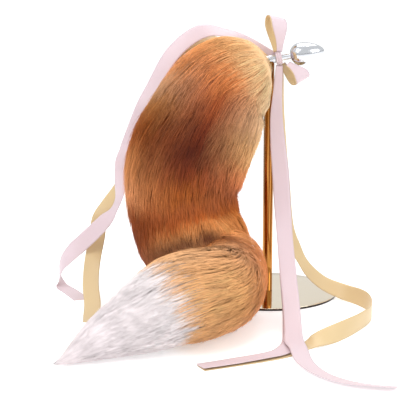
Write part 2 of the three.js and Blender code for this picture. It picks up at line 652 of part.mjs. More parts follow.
const tail = new THREE.Group();
tail.add(
  named('stand_base', standBase(), 0xf0e2cc, 0.12, 1),
  named('stand_post', standPost(), 0xc98a4a, 0.12, 1),
  named('tail_ferrule', tailFerrule(), 0xc9ccd0, 0.25, 1),
  named('plug', plug(), 0xe6e8ea, 0.05, 1),
  named('fur_body', furBody(ribbonRoom), 0xc98450, 0.9, 0),
  named('fur_tip', furTip(ribbonRoom), 0xf2e8e4, 0.9, 0),
  named('bow_knot', bowKnot(), 0xf4d9da, 0.4, 0),
  named('bow_loop_upper', bowLoop(upperLoop), 0xf4d9da, 0.4, 0),
  named('bow_loop_lower', bowLoop(lowerLoop), 0xf4d9da, 0.4, 0),
  named('streamer_pink_left', streamer(leftPinkRows), 0xf4d9da, 0.4, 0),
  named('streamer_gold_left', streamer(leftGoldRows), 0xe4c08a, 0.4, 0),
  named('streamer_pink_front', streamer(frontPinkRows), 0xf4d9da, 0.4, 0),
  named('streamer_pink_behind', streamer(backPinkRows), 0xf4d9da, 0.4, 0),
  named('streamer_gold_right', streamer(rightGoldRows), 0xe4c08a, 0.4, 0),
);

export default tail;
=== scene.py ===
"""A fluffy costume tail with its plug and ribbon bow, on a round gold display stand."""
import math

import bmesh
import bpy
import numpy as np
from bpy.props import FloatProperty, FloatVectorProperty, IntProperty, PointerProperty
from mathutils import Matrix, Vector


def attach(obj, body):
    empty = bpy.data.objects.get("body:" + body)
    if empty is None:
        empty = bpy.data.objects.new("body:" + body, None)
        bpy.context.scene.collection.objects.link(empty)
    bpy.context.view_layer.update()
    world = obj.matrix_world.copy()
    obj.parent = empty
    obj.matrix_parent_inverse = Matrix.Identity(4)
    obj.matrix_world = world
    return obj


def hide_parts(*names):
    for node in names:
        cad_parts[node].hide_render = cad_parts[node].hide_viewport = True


bl_info = {
    "name": "Costume Tail on Stand",
    "version": (1, 0, 0),
    "blender": (4, 5, 0),
    "location": "View3D > Sidebar > Costume Tail",
    "description": "Builds a costume tail, its plug and ribbon bow, and the stand that it hangs from",
    "category": "Object",
}

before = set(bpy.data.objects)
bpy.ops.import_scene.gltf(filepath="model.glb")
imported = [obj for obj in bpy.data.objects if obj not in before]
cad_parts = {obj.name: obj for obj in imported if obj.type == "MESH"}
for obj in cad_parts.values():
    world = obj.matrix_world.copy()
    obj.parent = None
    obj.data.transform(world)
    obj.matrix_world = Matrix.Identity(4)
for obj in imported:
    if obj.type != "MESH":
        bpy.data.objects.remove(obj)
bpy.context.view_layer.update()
MM = 0.001


def linear(hex_colour):
    """A screen colour such as "#F6EEDD" in the linear numbers that Blender works in."""
    parts = [int(hex_colour[i:i + 2], 16) / 255 for i in (1, 3, 5)]
    return tuple(c / 12.92 if c <= 0.04045 else ((c + 0.055) / 1.055) ** 2.4 for c in parts) + (1.0,)


def size_property(name, description, default_mm):
    return FloatProperty(name=name, description=description, default=default_mm * MM, unit="LENGTH")


def count_property(name, description, default):
    return IntProperty(name=name, description=description, default=default, min=1)


def colour_property(name, description, hex_colour):
    return FloatVectorProperty(
        name=name, description=description, default=linear(hex_colour), size=4, subtype="COLOR", min=0, max=1,
    )


class StandSettings(bpy.types.PropertyGroup):
    """The round base and its post"""

    disc_diameter: size_property("Base diameter", "Width of the round base", 175)
    disc_height: size_property("Base height", "Thickness of the round base", 3)
    disc_edge: size_property("Base edge", "Rounding of the base's edge", 0.6)
    post_diameter: size_property("Post diameter", "Width of the post", 12.7)
    saddle_depth: size_property("Saddle depth", "How far the post's top rises round the ferrule", 2.5)
    neck_height: size_property("Neck height", "Height of the plug's axis over the floor", 294)
    disc_colour: colour_property("Base gold", "Colour of the base's polished gold", "#F3E6CE")
    # the post's gold is painted darker and more orange than the base's: a painted reflection of the brown fur
    # beside it
    post_colour_with_reflection: colour_property("Post gold", "Colour of the post's polished gold", "#BA8040")


class PlugSettings(bpy.types.PropertyGroup):
    """The turned steel plug and the ferrule that holds the tail"""

    tilt: FloatProperty(
        name="Tilt", description="Rise of the plug's axis", default=math.radians(10), subtype="ANGLE",
    )
    ferrule_diameter: size_property("Ferrule diameter", "Width of the ferrule", 10.5)
    ferrule_start: size_property("Ferrule start", "Where the ferrule starts along the axis", -6)
    ferrule_end: size_property("Ferrule end", "Where the ferrule ends along the axis", 7.6)
    neck_diameter: size_property("Neck diameter", "Width of the plug's neck", 8)
    neck_length: size_property("Neck length", "Length of the plug's neck", 18)
    bulb_diameter: size_property("Bulb diameter", "Width of the plug's bulb", 28.5)
    bulb_length: size_property("Bulb length", "Length of the plug's bulb", 42)
    steel_colour: colour_property("Steel", "Colour of the polished steel", "#D9DCE1")


class FurSettings(bpy.types.PropertyGroup):
    """The tail's fur"""

    radius: size_property("Fur radius", "Half-width of the tail at its fullest", 70)
    tail_side: size_property("Reach to the left", "How far the tail reaches to its left", 235)
    tail_front: size_property("Reach to the front", "How far the tail reaches to the front", 300)
    hanging_strands: count_property("Hanging strands", "Hairs on the hanging stretch", 34200)
    lying_strands: count_property("Lying strands", "Hairs on the orange lying stretch", 9000)
    tip_strands: count_property("Tip strands", "Hairs on the white tip", 11000)
    strand_length: size_property("Strand length", "Length of a hair outside the coat", 48)
    strand_width: size_property("Strand width", "Width of a lock of a few hairs", 0.62)
    white_from: FloatProperty(
        name="White from", description="Share of the lying stretch where the white starts",
        default=0.545, min=0.0, max=1.0, subtype="FACTOR",
    )


class RibbonSettings(bpy.types.PropertyGroup):
    """The satin ribbons"""

    width: size_property("Ribbon width", "Width of the satin ribbon", 20)
    thickness: size_property("Ribbon thickness", "Thickness of the satin ribbon", 0.4)
    knot_width: size_property("Knot width", "Width of the knot along the neck", 7)
    knot_depth: size_property("Knot depth", "Depth of the knot", 19)
    knot_height: size_property("Knot height", "Height of the knot", 16.5)
    upper_loop: size_property("Upper loop", "Length of the upper loop", 50)
    lower_loop: size_property("Lower loop", "Length of the lower loop", 40)
    loop_depth: size_property("Loop depth", "Half the opening of a loop", 10)
    left_reach: size_property("Left reach", "How far the streamers reach to the left", 265)
    right_reach: size_property("Right reach", "How far the streamers reach to the right", 120)
    front_reach: size_property("Front reach", "How far the streamers reach to the front", 373)
    drop_back: size_property("Drop to the back", "How far the streamers hang to the back", 30)
    fit_gap: size_property("Fit gap", "Clearance between pieces that touch", 0.3)
    layer_step: size_property("Layer step", "Height between ribbons that lie on each other", 2.4)
    pink_colour: colour_property("Pink", "Colour of the pink satin", "#DECED3")
    gold_colour: colour_property("Gold", "Colour of the gold satin", "#E0C9A0")


SETTINGS = {
    "tail_stand": StandSettings,
    "tail_plug": PlugSettings,
    "tail_fur": FurSettings,
    "tail_ribbon": RibbonSettings,
}


def settings(name):
    return getattr(bpy.context.scene, name)


# side runs to the left, front to the front, rise up from the floor, and girth is the half-width,
# each a share of the size that it is named after
HANGING_ROWS = (
    (0.0, 0.0, 1.0, 0.1), (0.068, 0.02, 0.978, 0.6), (0.145, 0.045, 0.945, 0.88),
    (0.25, 0.08, 0.88, 1.0), (0.347, 0.127, 0.74, 1.0), (0.418, 0.153, 0.624, 1.02),
    (0.454, 0.173, 0.481, 0.99), (0.436, 0.193, 0.36, 0.98), (0.4, 0.22, 0.261, 0.95),
    (0.371, 0.26, 0.177, 0.8), (0.353, 0.3, 0.13, 0.5),
)

LYING_ROWS = (
    (0.3, 0.25, 0.19, 0.66), (0.245, 0.35, 0.19, 0.77), (0.238, 0.483, 0.168, 0.72),
    (0.29, 0.622, 0.178, 0.75), (0.385, 0.716, 0.185, 0.77), (0.477, 0.773, 0.18, 0.75),
    (0.582, 0.82, 0.148, 0.65), (0.69, 0.863, 0.113, 0.52), (0.8, 0.907, 0.08, 0.38),
    (0.89, 0.947, 0.046, 0.24), (0.961, 0.98, 0.021, 0.1), (1.0, 1.0, 0.012, 0.03),
)


def through(points, places):
    """Points on the smooth curve through the given ones. places run from 0 to the last one's number."""
    points = np.asarray(points, float)
    before = 2 * points[0] - points[1]
    after = 2 * points[-1] - points[-2]
    padded = np.vstack([before, points, after])
    knot = np.clip(places.astype(int), 0, len(points) - 2)
    weight = (places - knot)[:, None]
    p0, p1, p2, p3 = (padded[knot + k] for k in range(4))
    d0, d1, d2 = (
        np.maximum(np.linalg.norm(b - a, axis=1), 1e-9)[:, None] ** 0.5
        for a, b in ((p0, p1), (p1, p2), (p2, p3))
    )
    leave = ((p1 - p0) / d0 - (p2 - p0) / (d0 + d1) + (p2 - p1) / d1) * d1
    arrive = ((p2 - p1) / d1 - (p3 - p1) / (d1 + d2) + (p3 - p2) / d2) * d1
    square = -3 * p1 + 3 * p2 - 2 * leave - arrive
    cube = 2 * p1 - 2 * p2 + leave + arrive
    return p1 + leave * weight + square * weight ** 2 + cube * weight ** 3


def unit(vectors):
    return vectors / np.maximum(np.linalg.norm(vectors, axis=-1, keepdims=True), 1e-12)


class Run:
    """One stretch of the tail: at any share of its length it has a centre, three directions and a radius."""

    def __init__(self, rows, across):
        fur = settings("tail_fur")
        rows = np.array(rows)
        points = rows[:, :3] * (-fur.tail_side, -fur.tail_front, settings("tail_stand").neck_height)
        places = np.linspace(0, len(rows) - 1, 1200)
        centre = through(points, places)
        steps = np.linalg.norm(np.diff(centre, axis=0), axis=1)
        self.length = steps.sum()
        self.shares = np.concatenate([[0], np.cumsum(steps)]) / self.length
        tangent = unit(np.gradient(centre, axis=0))
        second = unit(across - tangent * (tangent @ across)[:, None])
        radius = np.interp(places, np.arange(len(rows)), rows[:, 3] * fur.radius)
        self.table = np.hstack([centre, tangent, np.cross(second, tangent), second, radius[:, None]])

    def at(self, share):
        """centre, tangent, first, second and radius; past either end the tangent carries the centre on"""
        share = np.asarray(share, float)
        columns = [np.interp(share, self.shares, column) for column in self.table.T]
        centre, tangent, first, second = (np.stack(columns[k:k + 3], axis=-1) for k in (0, 3, 6, 9))
        over = (share - np.clip(share, 0, 1)) * self.length
        return centre + tangent * over[..., None], tangent, first, second, columns[12]

    def around(self, share, angle, distance):
        """Points at an angle round the run and a distance from its centre, as shares of the radius"""
        centre, _, first, second, radius = self.at(share)
        out = np.cos(angle)[..., None] * first + np.sin(angle)[..., None] * second
        return centre + out * (radius * distance)[..., None], out


# a ribbon's sections from one of its rows to the next
STEPS_PER_ROW = 10
BACK = np.array([0.0, 1.0, 0.0])
UP = np.array([0.0, 0.0, 1.0])


def plug_axes():
    """The plug's own directions: along it, to the back, and up from it"""
    tilt = settings("tail_plug").tilt
    return np.array([
        [math.cos(tilt), 0, math.sin(tilt)],
        [0, 1, 0],
        [-math.sin(tilt), 0, math.cos(tilt)],
    ])


def plug_place(along, back, up):
    return np.array([0, 0, settings("tail_stand").neck_height]) + np.array([along, back, up]) @ plug_axes()


def beside_tail(along, angle, off, wide=1.0):
    """A row that stands on edge on the fur. angle 0 is the tail's outer side, and off is in millimetres."""
    def row(_reach):
        turn = np.array(math.radians(angle))
        hanging = Run(HANGING_ROWS, BACK)
        radius = hanging.at(along)[4]
        distance = radius + off * MM + settings("tail_ribbon").width * wide / 2
        centre, out = hanging.around(np.array(along), turn, distance / radius)
        return centre, out, wide
    return row


def free(sideways, rise, ax, ay, az, front=0.0, back=0.0, layer=0.0, wide=1.0):
    """A row in the open, placed in shares of the streamer's reaches and of the neck's height.

    ax, ay and az are the direction across it, and layer counts the ribbons under it.
    """
    def row(reach):
        ribbon = settings("tail_ribbon")
        centre = np.array([
            sideways * reach,
            back * ribbon.drop_back - front * ribbon.front_reach,
            rise * settings("tail_stand").neck_height + layer * ribbon.layer_step,
        ])
        return centre, unit(np.array([ax, ay, az])), wide
    return row


def knot_start():
    return settings("tail_plug").ferrule_end + 2 * settings("tail_ribbon").fit_gap


def at_knot(along, back, up, across, wide=1.0):
    """A row at the knot, with its place in shares of the knot's width, depth and height"""
    def row(_reach):
        ribbon = settings("tail_ribbon")
        centre = plug_place(
            knot_start() + along * ribbon.knot_width, back * ribbon.knot_depth, up * ribbon.knot_height,
        )
        return centre, unit(np.array(across) @ plug_axes()), wide
    return row


LEFT_PINK_ROWS = (
    at_knot(along=-0.045, back=0.36, up=0.24, across=(0, 0, 1), wide=0.35),
    beside_tail(along=0.06, angle=38, off=7, wide=0.75),
    beside_tail(along=0.13, angle=27, off=4, wide=0.95),
    beside_tail(along=0.22, angle=26, off=1),
    beside_tail(along=0.32, angle=25, off=0.5),
    beside_tail(along=0.42, angle=25, off=0.5),
    beside_tail(along=0.52, angle=27, off=1),
    free(0.668, 0.618, -0.78, 0.62, 0.08, back=-0.45),
    free(0.682, 0.568, -0.92, 0.4, 0.05, back=-0.4),
    free(0.694, 0.48, -0.75, 0.66, 0, back=-0.27),
    free(0.706, 0.405, -0.4, 0.9, 0.1, back=-0.2),
    free(0.728, 0.364, -0.25, 0.9, 0.3, back=-0.3),
    free(0.77, 0.32, -0.5, 0.5, 0.6, back=-0.4),
    free(0.875, 0.224, -0.62, 0.25, 0.72, back=-0.15),
    free(0.94, 0.165, -0.5, 0.5, 0.65, back=0.15),
    free(0.985, 0.11, -0.3, 0.85, 0.4, back=0.45),
    free(1, 0.055, -0.1, 0.97, 0.15, back=0.75),
    free(0.99, 0.012, 0.45, 0.88, 0.05, back=0.75),
    free(0.955, 0, 0.7, 0.71, 0, back=0.3),
    free(0.915, 0, 0.82, 0.57, 0, front=0.035),
    free(0.875, 0, 0.85, 0.52, 0, front=0.1),
)

LEFT_GOLD_ROWS = (
    at_knot(along=-0.045, back=0.46, up=0.27, across=(0, 0, 1), wide=0.35),
    beside_tail(along=0.06, angle=54, off=7.5, wide=0.6),
    beside_tail(along=0.13, angle=38, off=5, wide=0.85),
    beside_tail(along=0.22, angle=32, off=3),
    beside_tail(along=0.32, angle=31, off=2.5),
    beside_tail(along=0.42, angle=32, off=2),
    beside_tail(along=0.52, angle=37, off=2),
    free(0.662, 0.61, -0.36, 0.93, 0.03, back=0.72),
    free(0.672, 0.55, -0.4, 0.9, 0.05, back=0.85),
    free(0.705, 0.45, -0.65, 0.75, 0.1, back=0.85),
    free(0.76, 0.37, -0.88, 0.45, 0.15, back=0.75),
    free(0.8, 0.31, -0.97, 0.15, 0.15, back=0.6),
    free(0.812, 0.235, -1, 0.05, 0.05, back=0.4),
    free(0.828, 0.155, -1, -0.1, 0, back=-0.2),
    free(0.828, 0.08, -0.95, -0.2, -0.2, front=0.12),
    free(0.81, 0.028, -1, -0.1, -0.1, front=0.22),
    free(0.805, 0.005, -1, 0, 0, front=0.3),
    free(0.8, 0, -1, 0, 0, front=0.36),
)

FRONT_PINK_ROWS = (
    at_knot(along=0.36, back=-0.26, up=-0.52, across=(1, 0, 0), wide=0.42),
    free(0.08, 0.87, 1, 0.15, 0, front=0.036, wide=0.55),
    free(0.067, 0.775, 1, 0.1, 0, front=0.05, wide=0.72),
    free(0.083, 0.653, 1, 0.1, 0, front=0.065, wide=0.9),
    free(0.108, 0.544, 1, 0.1, 0, front=0.086),
    free(0.125, 0.42, 1, 0.1, 0, front=0.12),
    free(0.145, 0.29, 0.95, 0.28, 0, front=0.18),
    free(0.163, 0.165, 0.97, 0.2, 0.1, front=0.28),
    free(0.17, 0.078, 1, 0.1, 0.05, front=0.41),
    free(0.163, 0.034, 0.95, 0.3, 0.1, front=0.52),
    free(0.155, 0, 0.86, 0.5, 0.1, front=0.6, layer=2.2, wide=1.08),
    free(0.18, 0, 0.99, 0.1, 0, front=0.665, layer=2),
    free(0.215, 0, 0.93, 0.3, -0.1, front=0.78, layer=1.2),
    free(0.33, 0, 0.76, 0.62, -0.15, front=0.878, layer=1),
    free(0.55, 0, 0.42, 0.88, -0.2, front=0.955, layer=1),
    free(0.79, 0, 0.16, 0.96, -0.24, front=0.985, layer=1),
    free(0.925, 0, 0.08, 0.97, -0.25, front=0.995, layer=1),
)

BACK_PINK_ROWS = (
    at_knot(along=0.41, back=-0.1, up=-0.52, across=(1, 0, 0), wide=0.42),
    free(0.085, 0.87, 1, 0.12, 0, front=0.024, wide=0.55),
    free(0.075, 0.775, 1, 0.08, 0, front=0.038, wide=0.72),
    free(0.091, 0.653, 1, 0.08, 0, front=0.053, wide=0.9),
    free(0.116, 0.544, 1, 0.08, 0, front=0.074),
    free(0.133, 0.41, 1, 0.08, 0, front=0.107),
    free(0.15, 0.28, 0.96, 0.25, 0, front=0.162),
    free(0.166, 0.152, 0.97, 0.2, 0.05, front=0.26),
    free(0.17, 0.066, 1, 0.1, 0, front=0.385),
    free(0.155, 0.022, 0.98, 0.1, 0, front=0.49),
    free(0.135, 0, 1, 0.04, 0, front=0.575, layer=1),
    free(0.09, 0, 0.94, -0.3, 0, front=0.64, layer=1),
    free(0.0, 0, 0.68, -0.73, 0.02, front=0.69, layer=1),
    free(-0.16, 0, 0.53, -0.84, 0.04, front=0.725, layer=1),
    free(-0.35, 0, 0.48, -0.87, 0.04, front=0.758, layer=1),
    free(-0.53, 0, 0.45, -0.89, 0.03, front=0.787, layer=1),
    free(-0.71, 0, 0.43, -0.9, 0.02, front=0.814, layer=1),
)

RIGHT_GOLD_ROWS = (
    at_knot(along=0.57, back=0.21, up=-0.52, across=(1, 0.5, 0), wide=0.42),
    free(0.12, 0.83, 0.7, 0.7, 0, back=0.1, wide=0.6),
    free(0.125, 0.735, 0.65, 0.75, 0, back=0.07, wide=0.8),
    free(0.165, 0.53, 0.62, 0.78, 0, back=-0.05),
    free(0.22, 0.285, 0.65, 0.75, 0, back=-0.3),
    free(0.28, 0.214, 0.62, 0.75, 0.15, back=-0.4),
    free(0.36, 0.148, 0.48, 0.83, 0.26, back=-0.5),
    free(0.45, 0.102, 0.51, 0.75, 0.42, back=-0.67),
    free(0.58, 0.063, 0.4, 0.71, 0.57, back=-0.9),
    free(0.77, 0.036, 0.36, 0.5, 0.77, front=0.1),
    free(0.91, 0.033, 0.3, 0.3, 0.9, front=0.155),
    free(0.985, 0.035, 0.1, 0.05, 1, front=0.24),
    free(0.965, 0.035, 0.0, 0.0, 1, front=0.345),
    free(0.81, 0.035, 0.0, 0.1, 1, front=0.45),
    free(0.56, 0.031, -0.25, 0.4, 0.86, front=0.553),
    free(0.36, 0.018, -0.25, 0.85, 0.42, front=0.6),
    free(0.29, 0.006, -0.32, 0.92, 0.12, front=0.61),
    free(0.225, 0, -0.4, 0.9, 0, front=0.624),
    free(0.13, 0, -0.62, 0.78, 0, front=0.663),
    free(0.0, 0, -0.5, 0.86, 0, front=0.703),
    free(-0.16, 0, -0.48, 0.87, 0, front=0.733),
    free(-0.35, 0, -0.46, 0.88, 0, front=0.763),
    free(-0.7, 0, -0.43, 0.9, 0, front=0.815),
)


def smooth_sections(rows, reach):
    """Centres, directions across and widths along a ribbon, from its rows. reach is negative to the left."""
    centres, acrosses, wides = zip(*(row(reach) for row in rows))
    places = np.linspace(0, len(rows) - 1, (len(rows) - 1) * STEPS_PER_ROW + 1)
    centre = through(centres, places)
    across = unit(through(np.array(acrosses), places))
    wide = np.interp(places, np.arange(len(rows)), wides)
    return centre, across, wide


def add_node(tree, kind, inputs=None, **options):
    """Adds a node, sets its options, and fills its sockets with values or links."""
    node = tree.nodes.new(kind)
    for key, value in options.items():
        setattr(node, key, value)
    for key, value in (inputs or {}).items():
        if isinstance(value, bpy.types.NodeSocket):
            tree.links.new(value, node.inputs[key])
        else:
            node.inputs[key].default_value = value
    return node


def new_material(name):
    """An empty node material, and its tree"""
    material = bpy.data.materials.new(name)
    material.use_nodes = True
    tree = material.node_tree
    tree.nodes.clear()
    return material, tree


def finish_material(tree, shader_inputs, **options):
    shader = add_node(tree, "ShaderNodeBsdfPrincipled", shader_inputs, **options)
    add_node(tree, "ShaderNodeOutputMaterial", {"Surface": shader.outputs[0]})


# mirror-polished gold plate: a warm mirror, with hair-fine buffing lines and faint dull patches.
# lines and haze are a noise's scale, detail and roughness, and relief is a bump's strength and depth
GOLD_PLATE = {
    "lines": (900.0, 3.0, 0.6), "haze": (22.0, 4.0, 0.55), "roughness": (0.05, 0.13), "patch": 0.93,
    "relief": (0.03, 0.0002),
}
# turned and polished stainless steel: a clear cool mirror with faint turning lines round its axis
STAINLESS_STEEL = {
    "lines": (1400.0, 2.0, 0.5), "haze": (60.0, 3.0, 0.5), "roughness": (0.12, 0.2), "patch": 0.95,
    "relief": (0.02, 0.0001),
}
# the painted reflection on the disc's turned edge: a dark band painted into the gold
PAINTED_RIM_REFLECTION = "#3A3230"


def polished_metal(name, colour, finish, stretch, painted_rim_height=0.0):
    """A mirror metal, with fine lines that stretch along the piece's X, Y and Z, and duller patches.

    Below painted_rim_height it is painted nearly black: a painted dark reflection along the disc's turned
    edge.
    """
    material, tree = new_material(name)
    place = add_node(tree, "ShaderNodeTexCoord").outputs["Object"]
    mapped = add_node(tree, "ShaderNodeMapping", {"Vector": place, "Scale": stretch})
    lines, haze = (
        add_node(tree, "ShaderNodeTexNoise", {
            "Vector": vector, "Scale": scale, "Detail": detail, "Roughness": roughness,
        })
        for vector, (scale, detail, roughness) in (
            (mapped.outputs[0], finish["lines"]), (place, finish["haze"]),
        )
    )
    smoothest, dullest = finish["roughness"]
    dull = add_node(tree, "ShaderNodeMapRange", {
        "Value": haze.outputs["Fac"], "From Min": 0.35, "From Max": 0.75,
        "To Min": smoothest, "To Max": dullest,
    })
    patch = tuple(finish["patch"] * c for c in colour[:3]) + (1.0,)
    shown = add_node(tree, "ShaderNodeMix", {
        "Factor": haze.outputs["Fac"], 6: colour, 7: patch,
    }, data_type="RGBA")
    strength, depth = finish["relief"]
    bump = add_node(tree, "ShaderNodeBump", {
        "Height": lines.outputs["Fac"], "Strength": strength, "Distance": depth,
    })
    # painted reflection: below this height the colour is painted nearly black
    if painted_rim_height:
        height = add_node(tree, "ShaderNodeSeparateXYZ", {"Vector": place})
        above = add_node(tree, "ShaderNodeMath", {
            0: height.outputs[2], 1: painted_rim_height,
        }, operation="GREATER_THAN")
        shown = add_node(tree, "ShaderNodeMix", {
            "Factor": above.outputs[0], 6: linear(PAINTED_RIM_REFLECTION), 7: shown.outputs[2],
        }, data_type="RGBA")
    finish_material(tree, {
        "Base Color": shown.outputs[2], "Metallic": 1.0, "Roughness": dull.outputs[0],
        "Normal": bump.outputs[0],
    })
    return material


WEAVE_STEP = 0.7 * MM
SELVEDGE_FROM, SELVEDGE_FULL = 8.6 * MM, 9.4 * MM


def satin_ribbon(name, colour, shade):
    """Woven polyester satin: long floats give a soft sheen, and each edge is a firm woven selvedge.

    The UV map is in metres, across and along the ribbon. Real floats are about 0.1 mm apart and would
    not show, so the weave is drawn at 0.7 mm.
    """
    material, tree = new_material(name)
    place = add_node(tree, "ShaderNodeUVMap", uv_map="cloth")
    axes = add_node(tree, "ShaderNodeSeparateXYZ", {"Vector": place.outputs[0]})
    weave = add_node(tree, "ShaderNodeTexWave", {
        "Vector": place.outputs[0], "Scale": 0.5 / WEAVE_STEP / math.pi, "Distortion": 0.6, "Detail": 2.0,
        "Detail Scale": 1.4,
    }, bands_direction="DIAGONAL")
    slubs = add_node(tree, "ShaderNodeMapping", {"Vector": place.outputs[0], "Scale": (1.0, 9.0, 1.0)})
    threads = add_node(tree, "ShaderNodeTexNoise", {
        "Vector": slubs.outputs[0], "Scale": 90.0, "Detail": 4.0, "Roughness": 0.6,
    })
    # distance from the middle line, so that both selvedges come out of one step
    middle = add_node(tree, "ShaderNodeMath", {0: axes.outputs[0], 1: settings("tail_ribbon").width / 2},
                      operation="SUBTRACT")
    aside = add_node(tree, "ShaderNodeMath", {0: middle.outputs[0]}, operation="ABSOLUTE")
    edge = add_node(tree, "ShaderNodeMapRange", {
        "Value": aside.outputs[0], "From Min": SELVEDGE_FROM, "From Max": SELVEDGE_FULL,
        "To Min": 0.0, "To Max": 1.0,
    }, interpolation_type="SMOOTHSTEP")
    cloud = add_node(tree, "ShaderNodeMapRange", {
        "Value": threads.outputs["Fac"], "From Min": 0.3, "From Max": 0.7, "To Min": 0.0, "To Max": 0.45,
    })
    body = add_node(tree, "ShaderNodeMix", {
        "Factor": cloud.outputs[0], 6: colour, 7: shade,
    }, data_type="RGBA")
    trim = add_node(tree, "ShaderNodeMath", {0: edge.outputs[0], 1: 0.35}, operation="MULTIPLY")
    edged = add_node(tree, "ShaderNodeMix", {"Factor": trim.outputs[0], 6: body.outputs[2], 7: shade},
                     data_type="RGBA")
    relief = add_node(tree, "ShaderNodeMath", {0: weave.outputs["Fac"], 1: 0.35, 2: threads.outputs["Fac"]},
                      operation="MULTIPLY_ADD")
    raised = add_node(tree, "ShaderNodeMath", {0: relief.outputs[0], 1: edge.outputs[0]}, operation="ADD")
    bump = add_node(tree, "ShaderNodeBump", {
        "Height": raised.outputs[0], "Strength": 0.25, "Distance": 0.00025,
    })
    finish_material(tree, {
        "Base Color": edged.outputs[2], "Roughness": 0.42, "Normal": bump.outputs[0],
        "Sheen Weight": 0.25, "Sheen Roughness": 0.35, "Specular IOR Level": 0.45,
    })
    return material


def combed_fur(name, roughness):
    """Long acrylic fur: each hair carries its own dyed tone with painted shade and light in it, darker at the
    root, and is glossy along its side.
    """
    material, tree = new_material(name)
    tone = add_node(tree, "ShaderNodeAttribute", attribute_name="hair_tone_and_light", attribute_type="GEOMETRY")
    place = add_node(tree, "ShaderNodeTexCoord")
    mottle = add_node(tree, "ShaderNodeTexNoise", {
        "Vector": place.outputs["Object"], "Scale": 45.0, "Detail": 3.0, "Roughness": 0.6,
    })
    value = add_node(tree, "ShaderNodeMapRange", {
        "Value": mottle.outputs["Fac"], "From Min": 0.3, "From Max": 0.7, "To Min": 0.88, "To Max": 1.1,
    })
    dyed = add_node(tree, "ShaderNodeHueSaturation", {
        "Color": tone.outputs["Color"], "Value": value.outputs[0],
    })
    finish_material(tree, {
        "Base Color": dyed.outputs[0], "Roughness": roughness, "Specular IOR Level": 0.2,
        "Sheen Weight": 0.03, "Sheen Roughness": 0.4,
    })
    return material


def add_piece(name, mesh, material, replaced=()):
    """Links a finished mesh as a piece that rides on the part, and shades it smooth."""
    piece = bpy.data.objects.new(name, mesh)
    bpy.context.scene.collection.objects.link(piece)
    mesh.materials.append(material)
    mesh.polygons.foreach_set("use_smooth", np.ones(len(mesh.polygons), bool))
    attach(piece, "root")
    if replaced:
        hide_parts(*replaced)
    return piece


def mesh_from(shell, name):
    bmesh.ops.recalc_face_normals(shell, faces=shell.faces)
    mesh = bpy.data.meshes.new(name)
    shell.to_mesh(mesh)
    shell.free()
    return mesh


def scale_uv(shell, across, along):
    """Brings a grid's UV map to metres, across and along the ribbon."""
    cloth = shell.loops.layers.uv.verify()
    for face in shell.faces:
        for loop in face.loops:
            u, v = loop[cloth].uv
            loop[cloth].uv = (u * across, v * along)


CORNER_STEPS = 5


def turned(name, profile, steps=96):
    """A round mesh about Z from (radius, height) points, which start and end on the axis"""
    shell = bmesh.new()
    line = [shell.verts.new((radius, 0, height)) for radius, height in profile]
    edges = [shell.edges.new(pair) for pair in zip(line, line[1:])]
    bmesh.ops.spin(
        shell, geom=line + edges, cent=(0, 0, 0), axis=(0, 0, 1), angle=2 * math.pi, steps=steps,
        use_merge=True,
    )
    bmesh.ops.remove_doubles(shell, verts=shell.verts, dist=1e-6)
    mesh = mesh_from(shell, name)
    mesh.set_sharp_from_angle(angle=math.radians(40))
    return mesh


def along_plug(mesh):
    """Lays a mesh about Z along the plug's axis."""
    tilt = settings("tail_plug").tilt
    mesh.transform(
        Matrix.Translation((0, 0, settings("tail_stand").neck_height))
        @ Matrix.Rotation(math.pi / 2 - tilt, 4, "Y")
    )
    return mesh


def rounded_corner(radius, height, cut, start):
    """Points of a quarter round whose centre is at (radius, height), from the angle start on"""
    turns = [start + math.pi / 2 * k / CORNER_STEPS for k in range(CORNER_STEPS + 1)]
    return [(radius + cut * math.cos(turn), height + cut * math.sin(turn)) for turn in turns]


# a ribbon's faces across it, and its gentle unevenness: lengths of waves along it, and their depth
STRIP_COLUMNS = 10
CUP_WAVE, RIPPLE_WAVE, RIPPLE_FADE = 0.031, 0.017, 0.043
RIPPLE_DEPTH = 0.35 * MM


def cloth_strip(name, sections, material, replaced=(), offset=0.0, shift=0.0, cup=0.5):
    """A ribbon along its sections, as a thin closed sheet with a slight cup across it.

    offset moves it off the sections toward its face, and shift moves it sideways. Both are in metres,
    and cup is in millimetres. Returns the piece and its cut length.
    """
    ribbon = settings("tail_ribbon")
    centre, across, wide = sections
    tangent = unit(np.gradient(centre, axis=0))
    across = unit(across - tangent * (across * tangent).sum(1, keepdims=True))
    normal = np.cross(tangent, across)
    steps = np.linalg.norm(np.diff(centre, axis=0), axis=1)
    run = np.concatenate([[0], np.cumsum(steps)])
    grid = bmesh.new()
    bmesh.ops.create_grid(grid, x_segments=STRIP_COLUMNS, y_segments=len(centre) - 1, size=0.5, calc_uvs=True)
    for vert in grid.verts:
        u = vert.co.x
        k = round((vert.co.y + 0.5) * (len(centre) - 1))
        bend = cup * MM * (0.7 + 0.3 * math.sin(run[k] / CUP_WAVE)) * (4 * u * u - 0.5) * wide[k]
        ripple = RIPPLE_DEPTH * math.sin(run[k] / RIPPLE_WAVE + 2.2 * u) * math.cos(run[k] / RIPPLE_FADE)
        aside = across[k] * (u * ribbon.width * wide[k] + shift)
        vert.co = centre[k] + aside + normal[k] * (offset + bend + ripple)
    lowest = ribbon.thickness / 2 + 0.1 * MM
    for vert in grid.verts:
        vert.co.z = max(vert.co.z, lowest)
    scale_uv(grid, ribbon.width, run[-1])
    mesh = mesh_from(grid, name)
    mesh.uv_layers[0].name = "cloth"
    piece = add_piece(name, mesh, material, replaced)
    wall = piece.modifiers.new("thickness", "SOLIDIFY")
    wall.thickness = ribbon.thickness
    wall.offset = 0
    return piece, float(run[-1])


